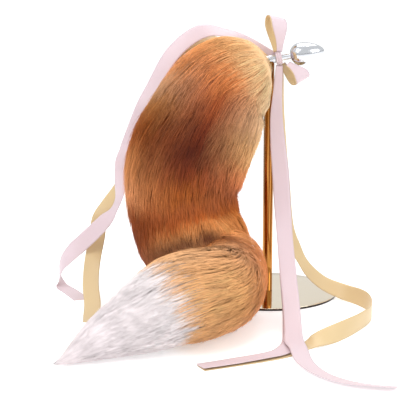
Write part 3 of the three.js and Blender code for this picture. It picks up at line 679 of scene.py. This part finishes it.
def make_base():
    stand = settings("tail_stand")
    radius, height, cut = stand.disc_diameter / 2, stand.disc_height, stand.disc_edge
    profile = [
        (0, 0),
        *rounded_corner(radius - cut, cut, cut, -math.pi / 2),
        *rounded_corner(radius - cut, height - cut, cut, 0),
        (0.6 * radius, height),
        (0, height),
    ]
    # below this height the base's turned edge gets a painted dark reflection
    gold = polished_metal(
        "gold_plated_base", tuple(stand.disc_colour), GOLD_PLATE, (1.0, 0.05, 1.0), height - 0.8 * cut,
    )
    mesh = turned("stand_base_polished", profile, 160)
    add_piece("stand_base_polished", mesh, gold, ["stand_base"])


def make_post():
    """The post, with a saddle cut across its top that the ferrule lies in"""
    stand, plug = settings("tail_stand"), settings("tail_plug")
    radius = stand.post_diameter / 2
    seat = plug.ferrule_diameter / 2 + 0.3 * MM
    top = stand.neck_height - plug.ferrule_diameter / 2 + stand.saddle_depth
    foot = stand.disc_height + 0.1 * MM
    cut = 0.5 * MM
    rings = [radius - cut - k * (radius - cut) / 8 for k in range(9)]
    profile = [
        (0, foot),
        *rounded_corner(radius - cut, foot + cut, cut, -math.pi / 2),
        *rounded_corner(radius - cut, top - cut, cut, 0),
        *((ring, top) for ring in rings[1:]),
    ]
    mesh = turned("stand_post_polished", profile)
    for vert in mesh.vertices:
        x, y, z = vert.co
        if z > top - 2 * cut and abs(y) < seat:
            axis = stand.neck_height + x * math.tan(plug.tilt)
            vert.co.z = min(z, axis - math.sqrt(seat * seat - y * y) / math.cos(plug.tilt))
    # the post's colour holds a painted reflection of the brown fur, darker than the base's gold
    gold = polished_metal("gold_plated_post", tuple(stand.post_colour_with_reflection), GOLD_PLATE, (1.0, 1.0, 0.03))
    add_piece("stand_post_polished", mesh, gold, ["stand_post"])


# along the bulb from the neck, and half-width, each a share of the bulb's size
BULB_SHAPE = (
    (0.0, 0.3), (0.015, 0.45), (0.04, 0.57), (0.1, 0.78), (0.2, 0.95), (0.32, 1.0), (0.46, 0.97),
    (0.6, 0.87), (0.74, 0.71), (0.86, 0.51), (0.95, 0.29), (0.985, 0.15), (1.0, 0.0),
)


def make_ferrule(steel):
    """A rolled tube end with a crimped groove that grips the tail's cord"""
    plug = settings("tail_plug")
    radius, cut = plug.ferrule_diameter / 2, 0.6 * MM
    start, end = plug.ferrule_start, plug.ferrule_end
    groove = (start + end) / 2 + 2.4 * MM
    profile = [
        (0, start),
        *rounded_corner(radius - cut, start + cut, cut, -math.pi / 2),
        (radius, groove - 0.9 * MM),
        (radius - 0.35 * MM, groove - 0.5 * MM),
        (radius - 0.35 * MM, groove + 0.5 * MM),
        (radius, groove + 0.9 * MM),
        *rounded_corner(radius - cut, end - cut, cut, 0),
        (0, end),
    ]
    mesh = along_plug(turned("tail_ferrule_crimped", profile))
    add_piece("tail_ferrule_crimped", mesh, steel, ["tail_ferrule"])


def make_plug(steel):
    plug = settings("tail_plug")
    start = plug.ferrule_end + settings("tail_ribbon").fit_gap
    bulb_start = start + plug.neck_length
    neck = plug.neck_diameter / 2
    shape = np.array(BULB_SHAPE)
    places = np.linspace(0, len(shape) - 1, 61)
    smooth = through(np.column_stack([shape, np.zeros(len(shape))]), places)
    bulb = [
        (max(radius, 0) * plug.bulb_diameter / 2, bulb_start + along * plug.bulb_length)
        for along, radius, _ in smooth
    ]
    bulb[-1] = (0, bulb[-1][1])
    shoulder = [(neck, bulb_start - 2 * MM), (neck + 0.25 * MM, bulb_start - 0.5 * MM)]
    profile = [(0, start), (neck - 0.4 * MM, start), (neck, start + 0.4 * MM), *shoulder, *bulb]
    mesh = along_plug(turned("plug_polished", profile, 128))
    add_piece("plug_polished", mesh, steel, ["plug"])


def make_knot(satin):
    """Two wraps of ribbon pulled tight round the neck, with creases that run round it"""
    ribbon, plug = settings("tail_ribbon"), settings("tail_plug")
    bore = plug.neck_diameter / 2 + 0.15 * MM
    half_width = ribbon.knot_width / 2
    # over the wrap's width: along the axis, how far out from the bore, and whether it can crease
    section = [(-1, 0.0), (-1, 0.5), (-1, 0.9), (-0.9, 1.0)]
    section += [(-0.75 + 1.5 * k / 14, 1.0) for k in range(15)]
    section += [(0.9, 1.0), (1, 0.9), (1, 0.5), (1, 0.0)]
    columns = len(section)
    rounds = 96
    squareness = 3.2
    shell = bmesh.new()
    bmesh.ops.create_grid(shell, x_segments=columns, y_segments=rounds, size=0.5, calc_uvs=True)
    axes = plug_axes()
    origin = plug_place(knot_start() + half_width, 0, 0)
    for vert in shell.verts:
        k = round((vert.co.x + 0.5) * columns) % columns
        turn = (vert.co.y + 0.5) * 2 * math.pi
        along, out = section[k]
        back, up = math.cos(turn), math.sin(turn)
        corner = (abs(back) ** squareness + abs(up) ** squareness) ** (-1 / squareness)
        outline = np.array([back * ribbon.knot_depth, up * ribbon.knot_height]) / 2 * corner
        crease = 0.45 * MM * math.cos(along * 7.5 + 0.8 * math.sin(turn))
        crease += 0.25 * MM * math.cos(along * 17 + turn)
        plump = 0.5 * MM * (1 - along * along) - 0.9 * MM
        inner = np.array([back, up]) * bore
        outer = outline * (1 + (crease + plump) / np.linalg.norm(outline))
        place = inner * (1 - out) + outer * out
        vert.co = origin + np.array([along * half_width, place[0], place[1]]) @ axes
    wrap_length = 3.4 * ribbon.knot_height
    scale_uv(shell, ribbon.width, wrap_length)
    bmesh.ops.remove_doubles(shell, verts=shell.verts, dist=1e-6)
    mesh = mesh_from(shell, "bow_knot_wrapped")
    mesh.uv_layers[0].name = "cloth"
    add_piece("bow_knot_wrapped", mesh, satin, ["bow_knot"])


def loop_sections(length, pointing, band):
    """Sections round a bow loop, which leaves the knot and comes back to it"""
    ribbon = settings("tail_ribbon")
    pointing, band = unit(np.array(pointing)), unit(np.array(band))
    opening = unit(np.cross(band, pointing))
    middle = np.array([knot_start() + ribbon.knot_width / 2, 0, 0])
    places = np.linspace(0, 1, 2001)
    line = (
        middle
        + pointing * (length * np.sin(math.pi * places))[:, None]
        + opening * (ribbon.loop_depth * np.sin(2 * math.pi * places))[:, None]
    )
    clear = ribbon.knot_height / 2 - 0.5 * MM
    outside = np.flatnonzero(np.abs(line[:, 2]) > clear)
    share = np.linspace(places[outside[0]], places[outside[-1]], 81)
    centre = np.stack([np.interp(share, places, column) for column in line.T], axis=-1)
    from_knot = np.minimum(share - share[0], share[-1] - share)
    # the band opens from the knot's width to its own over this share of the loop
    opens_over = 0.28
    spread = np.clip(from_knot / opens_over, 0, 1)
    spread = spread * spread * (3 - 2 * spread)
    across = unit(np.array([1.0, 0, 0]) * (1 - spread)[:, None] + band * spread[:, None])
    wide = ribbon.knot_width / ribbon.width * (1 - spread) + spread
    origin = np.array([0, 0, settings("tail_stand").neck_height])
    return origin + centre @ plug_axes(), across @ plug_axes(), wide


# the way each loop points and the way its band is wide, in the plug's own directions
UPPER_LOOP = ((0.1, 0.05, 1), (0.82, 0.3, -0.4))
LOWER_LOOP = ((0.6, -0.2, -0.77), (0.85, 0.4, 0.3))


def make_loops(pink, gold):
    """Each loop is a pink ribbon with a gold one inside it."""
    ribbon = settings("tail_ribbon")
    for name, length, shape in (
        ("bow_loop_upper", ribbon.upper_loop, UPPER_LOOP),
        ("bow_loop_lower", ribbon.lower_loop, LOWER_LOOP),
    ):
        sections = loop_sections(length, *shape)
        layers = (
            (name + "_pink", pink, "ribbon_pink", -0.3 * MM, 0.0, [name]),
            (name + "_gold", gold, "ribbon_gold", 0.3 * MM, -1.2 * MM, []),
        )
        for piece_name, satin, slot, offset, shift, replaced in layers:
            piece, run = cloth_strip(piece_name, sections, satin, replaced, offset, shift, cup=0.15)


def make_streamers(pink, gold):
    ribbon = settings("tail_ribbon")
    left, right = -ribbon.left_reach, ribbon.right_reach
    for name, rows, reach, satin, slot, rests_on in (
        ("streamer_pink_left", LEFT_PINK_ROWS, left, pink, "ribbon_pink", ["bow_knot", "fur_body"]),
        ("streamer_gold_left", LEFT_GOLD_ROWS, left, gold, "ribbon_gold", ["bow_knot", "fur_body"]),
        ("streamer_pink_front", FRONT_PINK_ROWS, right, pink, "ribbon_pink", ["bow_knot"]),
        ("streamer_pink_behind", BACK_PINK_ROWS, right, pink, "ribbon_pink", ["bow_knot"]),
        ("streamer_gold_right", RIGHT_GOLD_ROWS, right, gold, "ribbon_gold", ["bow_knot"]),
    ):
        piece, run = cloth_strip(name + "_satin", smooth_sections(rows, reach), satin, [name])


# the coat's colours, its dye with painted light in them: the sides differ as light falls, the hanging
# stretch's top and the inner side of its upper half painted lighter and its lower outer side darker, and the
# white tip
# darker towards its end. Columns: a share of the stretch, then its outer side, its front and back, and its
# inner side
HANGING_COAT_AND_LIGHT = (
    (0.0, "#FFDFB2", "#FFDFB2", "#FFE3B8"),
    (0.1, "#F9B06A", "#FFCA90", "#FFD7A9"),
    (0.2, "#E68F53", "#E48647", "#FFDBAC"),
    (0.28, "#C3946E", "#A54F22", "#FFD0A0"),
    (0.36, "#B8783E", "#772E10", "#FFC685"),
    (0.44, "#9C4A0F", "#5A1C05", "#FFAB6C"),
    (0.52, "#D1874E", "#873916", "#E88954"),
    (0.6, "#EA9E6A", "#CC702C", "#B76641"),
    (0.66, "#904212", "#B26030", "#BC6430"),
    (0.72, "#80360E", "#A8541F", "#C0641C"),
    (0.78, "#8F4424", "#C8844A", "#DC8440"),
    (0.84, "#98512F", "#E2A46C", "#EC9450"),
    (1.0, "#98512F", "#D8985E", "#EC9450"),
)
LYING_COAT_AND_LIGHT = (
    (0.0, "#D88C51", "#C47135", "#C46C30"),
    (0.1, "#E7742D", "#DD8642", "#D87C38"),
    (0.24, "#F59756", "#EAA977", "#E7954F"),
    (0.4, "#FFBA78", "#F2B47E", "#EAAA69"),
    (0.52, "#FDBC80", "#F2B883", "#EFB277"),
    (0.545, "#FBC391", "#F9C391", "#F1B880"),
    (0.565, "#FFF4F4", "#FFF4F4", "#FFF4F2"),
    (0.8, "#F9EEF0", "#F9EEF0", "#F9ECEC"),
    (1.0, "#DED2D4", "#DED2D4", "#DED0D0"),
)


def coat_tone_and_light(table, share, angle):
    """Linear colours, the coat's dye with its painted light, at places on a stretch"""
    stations = [row[0] for row in table]
    outer, front, inner = (
        np.stack([
            np.interp(share, stations, column)
            for column in np.array([linear(row[side])[:3] for row in table]).T
        ], axis=-1)
        for side in (1, 2, 3)
    )
    facing = np.cos(angle)[..., None]
    to_outer = np.clip(facing, 0, 1) ** 1.4
    to_inner = np.clip(-facing, 0, 1) ** 1.4
    return outer * to_outer + inner * to_inner + front * (1 - to_outer - to_inner)


def wander(share, angle, seed):
    """A smooth uneven field over the coat, from -1 to 1"""
    waves = np.random.default_rng(seed)
    total = 0
    for k in range(6):
        along, turns, phase = waves.uniform(6, 26), waves.integers(1, 5), waves.uniform(0, 6.28)
        total = total + np.sin(along * share + turns * angle + phase) / (1 + 0.3 * k)
    return total / 3.2


def kept_clear(points):
    """Lifts hairs off the floor and the base, and moves them out of the post."""
    stand = settings("tail_stand")
    reach = np.hypot(points[..., 0], points[..., 1])
    post = stand.post_diameter / 2 + 0.7 * MM
    over_base, over_floor = 0.3 * MM, 0.2 * MM
    beside = (reach < post) & (points[..., 2] < stand.neck_height)
    grow = np.where(beside, (post + 0.1 * reach) / np.maximum(reach, 1e-5), 1.0)
    points[..., 0] *= grow
    points[..., 1] *= grow
    on_base = reach < stand.disc_diameter / 2 + 1 * MM
    ground = np.where(on_base, stand.disc_height + over_base, over_floor)
    height = points[..., 2] - ground
    soft = 6 * MM
    pressed = soft * np.exp(np.minimum(height - soft, 0) / soft)
    points[..., 2] = ground + np.where(height < soft, pressed, height)
    return points


def hair_mesh(name, spots, widths, outward, colours, roundness=0.26):
    """Closed three-sided hairs, each along its row of spots and ending in a point.

    spots and outward are (hairs, stations, 3), and widths and colours go with them. roundness is how far
    a hair is lit as a thread of its own, and not as the coat that it lies in.
    """
    hairs, stations, _ = spots.shape
    tangent = unit(np.gradient(spots, axis=1))
    side = unit(np.cross(outward, tangent))
    rise = np.cross(tangent, side)
    half = widths[..., None] / 2
    corners = np.stack([spots + side * half, spots + rise * half * 0.9, spots - side * half], axis=2)
    body = corners[:, :-1].reshape(hairs, -1, 3)
    verts = np.concatenate([body, spots[:, -1:]], axis=1)
    per_hair = verts.shape[1]
    faces = [(0, 2, 1)]
    for k in range(stations - 2):
        for c in range(3):
            n = (c + 1) % 3
            a, b = 3 * k + c, 3 * k + n
            faces += [(a, b, b + 3), (a, b + 3, a + 3)]
    last = 3 * (stations - 2)
    faces += [(last + c, last + (c + 1) % 3, per_hair - 1) for c in range(3)]
    faces = np.array(faces)
    index = (faces[None] + (np.arange(hairs) * per_hair)[:, None, None]).reshape(-1)
    tone = np.concatenate([np.repeat(colours[:, :-1], 3, axis=1), colours[:, -1:]], axis=1)
    mesh = bpy.data.meshes.new(name)
    mesh.vertices.add(hairs * per_hair)
    mesh.vertices.foreach_set("co", verts.reshape(-1).astype(np.float32))
    mesh.loops.add(len(index))
    mesh.loops.foreach_set("vertex_index", index.astype(np.int32))
    mesh.polygons.add(len(index) // 3)
    mesh.polygons.foreach_set("loop_start", np.arange(0, len(index), 3, dtype=np.int32))
    mesh.update(calc_edges=True)
    paint_tone(mesh, tone.reshape(-1, 3))
    round_hair = np.stack([side, rise, -side], axis=2)[:, :-1].reshape(hairs, -1, 3)
    coat = np.repeat(outward[:, :-1], 3, axis=1)
    facing = (1 - roundness) * coat + roundness * round_hair
    facing = unit(np.concatenate([facing, outward[:, -1:]], axis=1))
    mesh.normals_split_custom_set_from_vertices(facing.reshape(-1, 3).tolist())
    return mesh


def paint_tone(mesh, colours):
    layer = mesh.color_attributes.new("hair_tone_and_light", "FLOAT_COLOR", "POINT")
    opaque = np.concatenate([colours, np.ones((len(colours), 1))], axis=1)
    layer.data.foreach_set("color", opaque.reshape(-1).astype(np.float32))


# the fold's line of painted shade as it shows: left, front and rise as in the tail's rows, and how dark it is
# painted there
CREASE_LINE = (
    (0.613, 0.33, 0.218, 0.3), (0.549, 0.387, 0.262, 0.65), (0.455, 0.417, 0.3, 0.9),
    (0.362, 0.41, 0.323, 1.0), (0.298, 0.437, 0.337, 1.0), (0.234, 0.443, 0.342, 0.8),
    (0.183, 0.457, 0.333, 0.6), (0.14, 0.46, 0.318, 0.5), (0.094, 0.45, 0.296, 0.35),
    (0.064, 0.42, 0.272, 0.15),
)
# the painted shade's colour in the fold's crease, and the reach of it and of the painted highlight band above
# it
CREASE_SHADE = "#561702"
CREASE_HALF_WIDTH = 9.5 * MM
HIGHLIGHT_ABOVE = 20 * MM
HIGHLIGHT_HALF_WIDTH = 9 * MM
CREASE_DARKENS, PAINTED_HIGHLIGHT = 0.96, 0.55


def painted_crease_shade(colours, spots):
    """Colours darkened by painted shade along the fold's line, with a painted highlight band above it"""
    fur = settings("tail_fur")
    rows = np.array(CREASE_LINE)
    places = np.linspace(0, len(rows) - 1, 60)
    line = rows[:, :3] * (-fur.tail_side, -fur.tail_front, settings("tail_stand").neck_height)
    line = through(line, places)
    strength = np.interp(places, np.arange(len(rows)), rows[:, 3])
    nearest = np.full(spots.shape[:-1], np.inf)
    above, darkness = np.zeros_like(nearest), np.zeros_like(nearest)
    for point, dark in zip(line, strength):
        away = np.linalg.norm(spots - point, axis=-1)
        closer = away < nearest
        nearest = np.where(closer, away, nearest)
        above = np.where(closer, spots[..., 2] - point[2], above)
        darkness = np.where(closer, dark, darkness)
    dark = CREASE_DARKENS * darkness * np.exp(-(nearest / CREASE_HALF_WIDTH) ** 2)
    beside = np.exp(-((nearest - HIGHLIGHT_ABOVE) / HIGHLIGHT_HALF_WIDTH) ** 2)
    band = PAINTED_HIGHLIGHT * darkness * (above > 0) * beside
    colours = colours * (1 + band[..., None])
    return colours + (np.array(linear(CREASE_SHADE)[:3]) - colours) * dark[..., None]


# the sweep over the fold: a share of the hanging run, and how much farther out the tips lie there
FLARE = ((0.0, 0.0), (0.68, 0.0), (0.76, 0.2), (0.84, 0.4), (0.92, 0.52), (1.0, 0.52))
FLARE_TURN = math.radians(-42)
# how far out the tips lie, as a share of the tail's radius: the coat is combed flatter near the ferrule
COAT_HEIGHT = (
    (0.0, 0.86), (0.12, 0.9), (0.22, 0.98), (0.34, 1.02), (0.46, 1.02), (0.56, 0.96), (1.0, 0.95),
)
# where hairs fall over the fold: a share of the lying run, and how far they go round it and not along it
FALL = ((0.1, 1.0), (0.16, 0.5), (0.4, 0.0))
# a hair at its four stations: shares of its length, of the tail's radius and of its full width, and its
# painted shade: how much lighter than its own tone it is there, painted darker at the root deep in the coat
STATIONS = np.array([0.0, 0.36, 0.7, 1.0])
DEPTH = np.array([0.79, 0.9, 0.94, 0.952])
TAPER = np.array([0.8, 1.0, 0.72, 0.0])
SHADE = np.array([-0.14, -0.05, 0.02, 0.06])
# hairs fall into locks of this size in metres, and each lock takes one of this many sets of rolls
LOCK_LENGTH, LOCK_WIDTH = 0.018, 0.011
LOCK_SETS = 8192
LENGTH_SPREAD = 0.16
WILD_SHARE, WILD_RISE = 0.06, 0.06


def flare_over_fold(share, angle):
    """How much farther out the hanging hairs lie where they sweep over the fold to the post's side"""
    inner = np.clip(-np.cos(angle + FLARE_TURN), 0, 1) ** 2
    return 1 + inner * np.interp(share, *np.transpose(FLARE))


def rooted(run, count, draw, first, last):
    """Shares and angles of the hairs' roots: more where the tail is thick, for an equally dense coat"""
    trial = draw.uniform(first, last, count * 4)
    radius = run.at(trial)[4]
    share = trial[draw.uniform(0, 1, len(trial)) < (radius / radius.max()) ** 0.9][:count]
    return share, draw.uniform(-math.pi, math.pi, len(share))


def locks_of(run, share, angle, seed):
    """The share and angle of each hair's lock, and four rolls that its hairs have in common"""
    girth = 2 * math.pi * settings("tail_fur").radius * 0.8
    row = np.floor(share * run.length / LOCK_LENGTH + 0.5 * np.sin(3 * angle))
    round_count = np.maximum(np.round(girth / LOCK_WIDTH), 8)
    column = np.floor((angle / (2 * math.pi) + 0.5 * (row % 2) / round_count) * round_count)
    chosen = (row * 131 + column).astype(np.int64) % LOCK_SETS
    rolls = np.random.default_rng(seed + 1).uniform(-1, 1, (4, LOCK_SETS))[:, chosen]
    return (row + 0.5) * LOCK_LENGTH / run.length, (column + 0.5) / round_count * 2 * math.pi, rolls


def hairs_on(run, table, count, seed, ends, length_scale=1.0, contrast=1.0, over_fold=False):
    """Spots, widths, outward directions and colours of hairs rooted between two shares of a run.

    With over_fold the hairs at the run's start fall down round its girth, as they hang over the fold.
    """
    fur = settings("tail_fur")
    draw = np.random.default_rng(seed)
    share, angle = rooted(run, count, draw, *ends)
    hairs = len(share)
    radius = run.at(share)[4]
    lock_share, lock_angle, (longer, leaning, higher, tinted) = locks_of(run, share, angle, seed)
    # how strongly each hair leans to the middle of its lock
    pull = 0.3 + 0.25 * draw.uniform(-1, 1, hairs)
    toward = (lock_angle - angle + math.pi) % (2 * math.pi) - math.pi
    toward = np.where(np.abs(toward) < 0.5, toward, 0)
    length = fur.strand_length * length_scale * (0.62 + 0.38 * radius / fur.radius)
    length = length * (1 + LENGTH_SPREAD * longer + LENGTH_SPREAD * draw.uniform(-1, 1, hairs))
    flow = 0.07 * wander(share, angle, seed + 2)
    stray = draw.normal(0, 0.035, hairs)
    wild = (draw.uniform(0, 1, hairs) < WILD_SHARE) * draw.uniform(0.3, 1.0, hairs)

    along = length[:, None] * STATIONS
    over = over_fold * np.interp(share, *np.transpose(FALL))
    reach = share[:, None] + along / run.length * (1 - 0.85 * over)[:, None]
    # past the run's end hairs are drawn in, so that the tip stays a brush
    reach = np.where(reach > 1, 1 + 0.25 * (reach - 1), reach)
    close = (lock_share - share)[:, None] * 0.15 * STATIONS
    turned_by = (toward * pull)[:, None] * STATIONS ** 1.3
    turned_by = turned_by + (flow + 0.05 * leaning + stray)[:, None] * STATIONS * 1.1
    # on the side that is seen the fold's hairs fall outward and down, and behind it the other way
    falls = np.where(np.cos(angle - 0.5) > 0, -1, 1) * over
    turned_by = turned_by + falls[:, None] * along / radius[:, None]

    uneven = 0.01 * higher[:, None] + 0.018 * draw.uniform(-1, 1, hairs)[:, None]
    height = DEPTH + uneven * STATIONS
    height = height + wild[:, None] * WILD_RISE * STATIONS ** 2
    if not over_fold:
        combed = np.interp(share, *np.transpose(COAT_HEIGHT)) / COAT_HEIGHT[-1][1]
        flare = flare_over_fold(share, angle)
        height = height * (combed[:, None] * (1 + (flare[:, None] - 1) * STATIONS))
    spots, out = run.around(reach + close, angle[:, None] + turned_by, height)
    spots = kept_clear(spots)

    widths = fur.strand_width * TAPER * (0.85 + 0.3 * draw.uniform(0, 1, hairs))[:, None]
    edge = draw.normal(0, 0.007, hairs) + 0.005 * tinted
    base = coat_tone_and_light(table, np.clip(share + 0.4 * length / run.length + edge, 0, 1), angle)
    streaks = 0.05 * tinted + 0.2 * draw.uniform(-1, 1, hairs) + 0.07 * wander(share, angle, seed + 3)
    tone = 1 + contrast * streaks
    # painted shade along each hair: darker at its root, lighter at its tip
    shade = 1 + contrast * SHADE
    colours = base[:, None] * tone[:, None, None] * shade[None, :, None]
    # painted shade in the fold's crease, and a painted highlight band above it
    colours = painted_crease_shade(colours, spots)
    return spots, widths, out, np.clip(colours, 0, 1)


def under_coat(name, run, table, ends, material, replaced, painted_shade_share):
    """The dense under-coat that the hairs grow out of: a closed body along the stretch"""
    first, last = ends
    share_of_radius, end_rounding = 0.83, 12 * MM
    rounds, stations = 64, 90
    shell = bmesh.new()
    bmesh.ops.create_grid(shell, x_segments=rounds, y_segments=stations, size=0.5, calc_uvs=False)
    shell.verts.ensure_lookup_table()
    flat = np.array([vert.co for vert in shell.verts])
    angle = (flat[:, 0] + 0.5) * 2 * math.pi
    share = first + (flat[:, 1] + 0.5) * (last - first)
    from_end = np.minimum(share - first, last - share) * run.length
    rounded = np.sqrt(np.clip(from_end / end_rounding, 0, 1))
    bumps = 1 + 0.015 * wander(share, angle, 77)
    spots, _ = run.around(share, angle, share_of_radius * rounded * bumps)
    spots = kept_clear(spots)
    for vert, spot in zip(shell.verts, spots):
        vert.co = spot
    # the under-coat is painted darker than the hairs' tone: painted shade deep inside the coat
    tone = coat_tone_and_light(table, share, angle) * painted_shade_share
    order = shell.verts.layers.float_color.new("hair_tone_and_light")
    for vert, colour in zip(shell.verts, tone):
        vert[order] = (*colour, 1)
    bmesh.ops.remove_doubles(shell, verts=shell.verts, dist=1e-6)
    mesh = mesh_from(shell, name)
    add_piece(name, mesh, material, replaced)


def make_fur():
    fur = settings("tail_fur")
    orange = combed_fur("dyed_acrylic_fur_orange", 0.5)
    white = combed_fur("acrylic_fur_white", 0.55)
    hanging = Run(HANGING_ROWS, BACK)
    lying = Run(LYING_ROWS, UP)
    split = fur.white_from
    # the first white hairs are rooted a little before the place where the white shows
    border = split - 0.05
    for name, run, table, ends, material, slot, replaced, painted_shade_share in (
        ("fur_hanging", hanging, HANGING_COAT_AND_LIGHT, (0.0, 1.0), orange, "fur_orange", ["fur_body"], 0.85),
        ("fur_lying", lying, LYING_COAT_AND_LIGHT, (0.0, split), orange, "fur_orange", [], 0.88),
        ("fur_tip", lying, LYING_COAT_AND_LIGHT, (split - 0.03, 0.985), white, "fur_white", ["fur_tip"], 0.97),
    ):
        under_coat(name + "_under_coat", run, table, ends, material, replaced, painted_shade_share)
    # three meshes share the hanging hairs, so that each stays small enough
    meshes = 3
    hairs = hairs_on(hanging, HANGING_COAT_AND_LIGHT, fur.hanging_strands, 11, (0.005, 0.97))
    for k in range(meshes):
        name = f"fur_hanging_hairs_{k + 1}"
        mesh = hair_mesh(name, *(part[k::meshes] for part in hairs))
        add_piece(name, mesh, orange)
    for name, count, seed, ends, material, slot, scale, contrast, roundness in (
        ("fur_lying_hairs", fur.lying_strands, 23, (0.0, border), orange, "fur_orange", 0.85, 0.75, 0.22),
        ("fur_tip_hairs", fur.tip_strands, 37, (border, 0.93), white, "fur_white", 0.95, 0.25, 0.12),
    ):
        hairs = hairs_on(lying, LYING_COAT_AND_LIGHT, count, seed, ends, scale, contrast, over_fold=True)
        add_piece(name, hair_mesh(name, *hairs, roundness), material)


CAMERA_PLACE = (-0.0849, -1.6413, 0.4459)
CAMERA_PITCH = math.radians(11.2675)
FOCAL_PIXELS = 1339
PHOTO_PIXELS = 400
SENSOR = 36


def make_stage():
    scene = bpy.context.scene
    scene.view_settings.view_transform = "Standard"
    camera = bpy.data.cameras.new("photo_camera")
    camera.sensor_width = SENSOR
    camera.lens = FOCAL_PIXELS / PHOTO_PIXELS * SENSOR
    camera.clip_end = 100
    eye = bpy.data.objects.new("photo_camera", camera)
    eye.location = CAMERA_PLACE
    eye.rotation_euler = (math.pi / 2 - CAMERA_PITCH, 0, 0)
    scene.collection.objects.link(eye)
    scene.camera = eye

    shell = bmesh.new()
    bmesh.ops.create_grid(shell, x_segments=4, y_segments=4, size=30)
    floor_mesh = bpy.data.meshes.new("studio_floor")
    shell.to_mesh(floor_mesh)
    shell.free()
    floor = bpy.data.objects.new("studio_floor", floor_mesh)
    scene.collection.objects.link(floor)
    # white seamless paper, lit a little from behind, so that shadows stay faint
    paper, tree = new_material("white_paper_sweep")
    grain = add_node(tree, "ShaderNodeTexNoise", {"Scale": 300.0, "Detail": 2.0})
    bump = add_node(tree, "ShaderNodeBump", {
        "Height": grain.outputs["Fac"], "Strength": 0.02, "Distance": 0.0002,
    })
    finish_material(tree, {
        "Base Color": (0.82, 0.82, 0.82, 1), "Roughness": 0.9, "Normal": bump.outputs[0],
        "Emission Color": (1, 1, 1, 1), "Emission Strength": 0.4,
    })
    floor_mesh.materials.append(paper)

    world = bpy.data.worlds.new("studio_world")
    scene.world = world
    world.use_nodes = True
    sky = world.node_tree
    sky.nodes.clear()
    place = add_node(sky, "ShaderNodeTexCoord")
    axes = add_node(sky, "ShaderNodeSeparateXYZ", {"Vector": place.outputs["Generated"]})
    ramp = add_node(sky, "ShaderNodeValToRGB", {"Fac": axes.outputs[2]})
    ramp.color_ramp.elements[0].position = 0.01
    ramp.color_ramp.elements[0].color = (0.3, 0.3, 0.31, 1)
    ramp.color_ramp.elements[1].position = 0.16
    ramp.color_ramp.elements[1].color = (1, 1, 1, 1)
    glow = add_node(sky, "ShaderNodeBackground", {"Color": ramp.outputs[0], "Strength": 0.85})
    add_node(sky, "ShaderNodeOutputWorld", {"Surface": glow.outputs[0]})

    # name, place, what it aims at, side of its square in metres, and power in watts
    for name, place, target, size, power in (
        ("key_softbox", (-0.9, -1.1, 1.5), (0, -0.1, 0.15), 0.9, 12),
        ("fill_softbox", (1.3, -0.9, 0.9), (0, -0.1, 0.15), 0.8, 6),
        ("top_softbox", (0.1, 0.5, 1.7), (-0.05, -0.1, 0.15), 1.1, 12),
    ):
        lamp = bpy.data.lights.new(name, "AREA")
        lamp.shape = "SQUARE"
        lamp.size = size
        lamp.energy = power
        light = bpy.data.objects.new(name, lamp)
        light.location = place
        aim = Vector(target) - Vector(place)
        light.rotation_euler = aim.to_track_quat("-Z", "Y").to_euler()
        scene.collection.objects.link(light)


class CostumeTailStage(bpy.types.Operator):
    """Set up the floor, the soft studio light and the camera"""

    bl_idname = "costume_tail.make_stage"
    bl_label = "Stage"

    def execute(self, context):
        make_stage()
        return {"FINISHED"}


class CostumeTailStand(bpy.types.Operator):
    """Make the polished gold base and post"""

    bl_idname = "costume_tail.make_stand"
    bl_label = "Stand"

    def execute(self, context):
        make_base()
        make_post()
        return {"FINISHED"}


class CostumeTailPlug(bpy.types.Operator):
    """Make the polished steel plug and the tail's ferrule"""

    bl_idname = "costume_tail.make_plug"
    bl_label = "Plug and ferrule"

    def execute(self, context):
        colour = tuple(settings("tail_plug").steel_colour)
        steel = polished_metal("polished_stainless_steel", colour, STAINLESS_STEEL, (1.0, 0.04, 0.04))
        make_ferrule(steel)
        make_plug(steel)
        return {"FINISHED"}


class CostumeTailRibbons(bpy.types.Operator):
    """Make the bow's knot and loops, and the five streamers"""

    bl_idname = "costume_tail.make_ribbons"
    bl_label = "Bow and streamers"

    def execute(self, context):
        ribbon = settings("tail_ribbon")
        pink = satin_ribbon("pink_polyester_satin", tuple(ribbon.pink_colour), linear("#D0B8C0"))
        gold = satin_ribbon("gold_polyester_satin", tuple(ribbon.gold_colour), linear("#C9AC78"))
        make_knot(pink)
        make_loops(pink, gold)
        make_streamers(pink, gold)
        return {"FINISHED"}


class CostumeTailFur(bpy.types.Operator):
    """Make the tail's under-coat and its hairs"""

    bl_idname = "costume_tail.make_fur"
    bl_label = "Fur"

    def execute(self, context):
        make_fur()
        return {"FINISHED"}


class CostumeTailPanel(bpy.types.Panel):
    """Lists the pieces of the costume tail"""

    bl_idname = "VIEW3D_PT_costume_tail"
    bl_label = "Costume Tail"
    bl_space_type = "VIEW_3D"
    bl_region_type = "UI"
    bl_category = "Costume Tail"

    def draw(self, context):
        for operator in OPERATORS:
            self.layout.operator(operator.bl_idname)
        for name, group in SETTINGS.items():
            box = self.layout.box()
            box.label(text=group.__doc__)
            for key in group.__annotations__:
                box.prop(getattr(context.scene, name), key)


OPERATORS = (CostumeTailStage, CostumeTailStand, CostumeTailPlug, CostumeTailRibbons, CostumeTailFur)
CLASSES = (*SETTINGS.values(), *OPERATORS, CostumeTailPanel)


def register():
    for each in CLASSES:
        bpy.utils.register_class(each)
    for name, group in SETTINGS.items():
        setattr(bpy.types.Scene, name, PointerProperty(type=group))


def unregister():
    for name in SETTINGS:
        delattr(bpy.types.Scene, name)
    for each in reversed(CLASSES):
        bpy.utils.unregister_class(each)


def main():
    register()
    bpy.ops.costume_tail.make_stage()
    bpy.ops.costume_tail.make_stand()
    bpy.ops.costume_tail.make_plug()
    bpy.ops.costume_tail.make_ribbons()
    bpy.ops.costume_tail.make_fur()


if __name__ == "__main__":
    main()
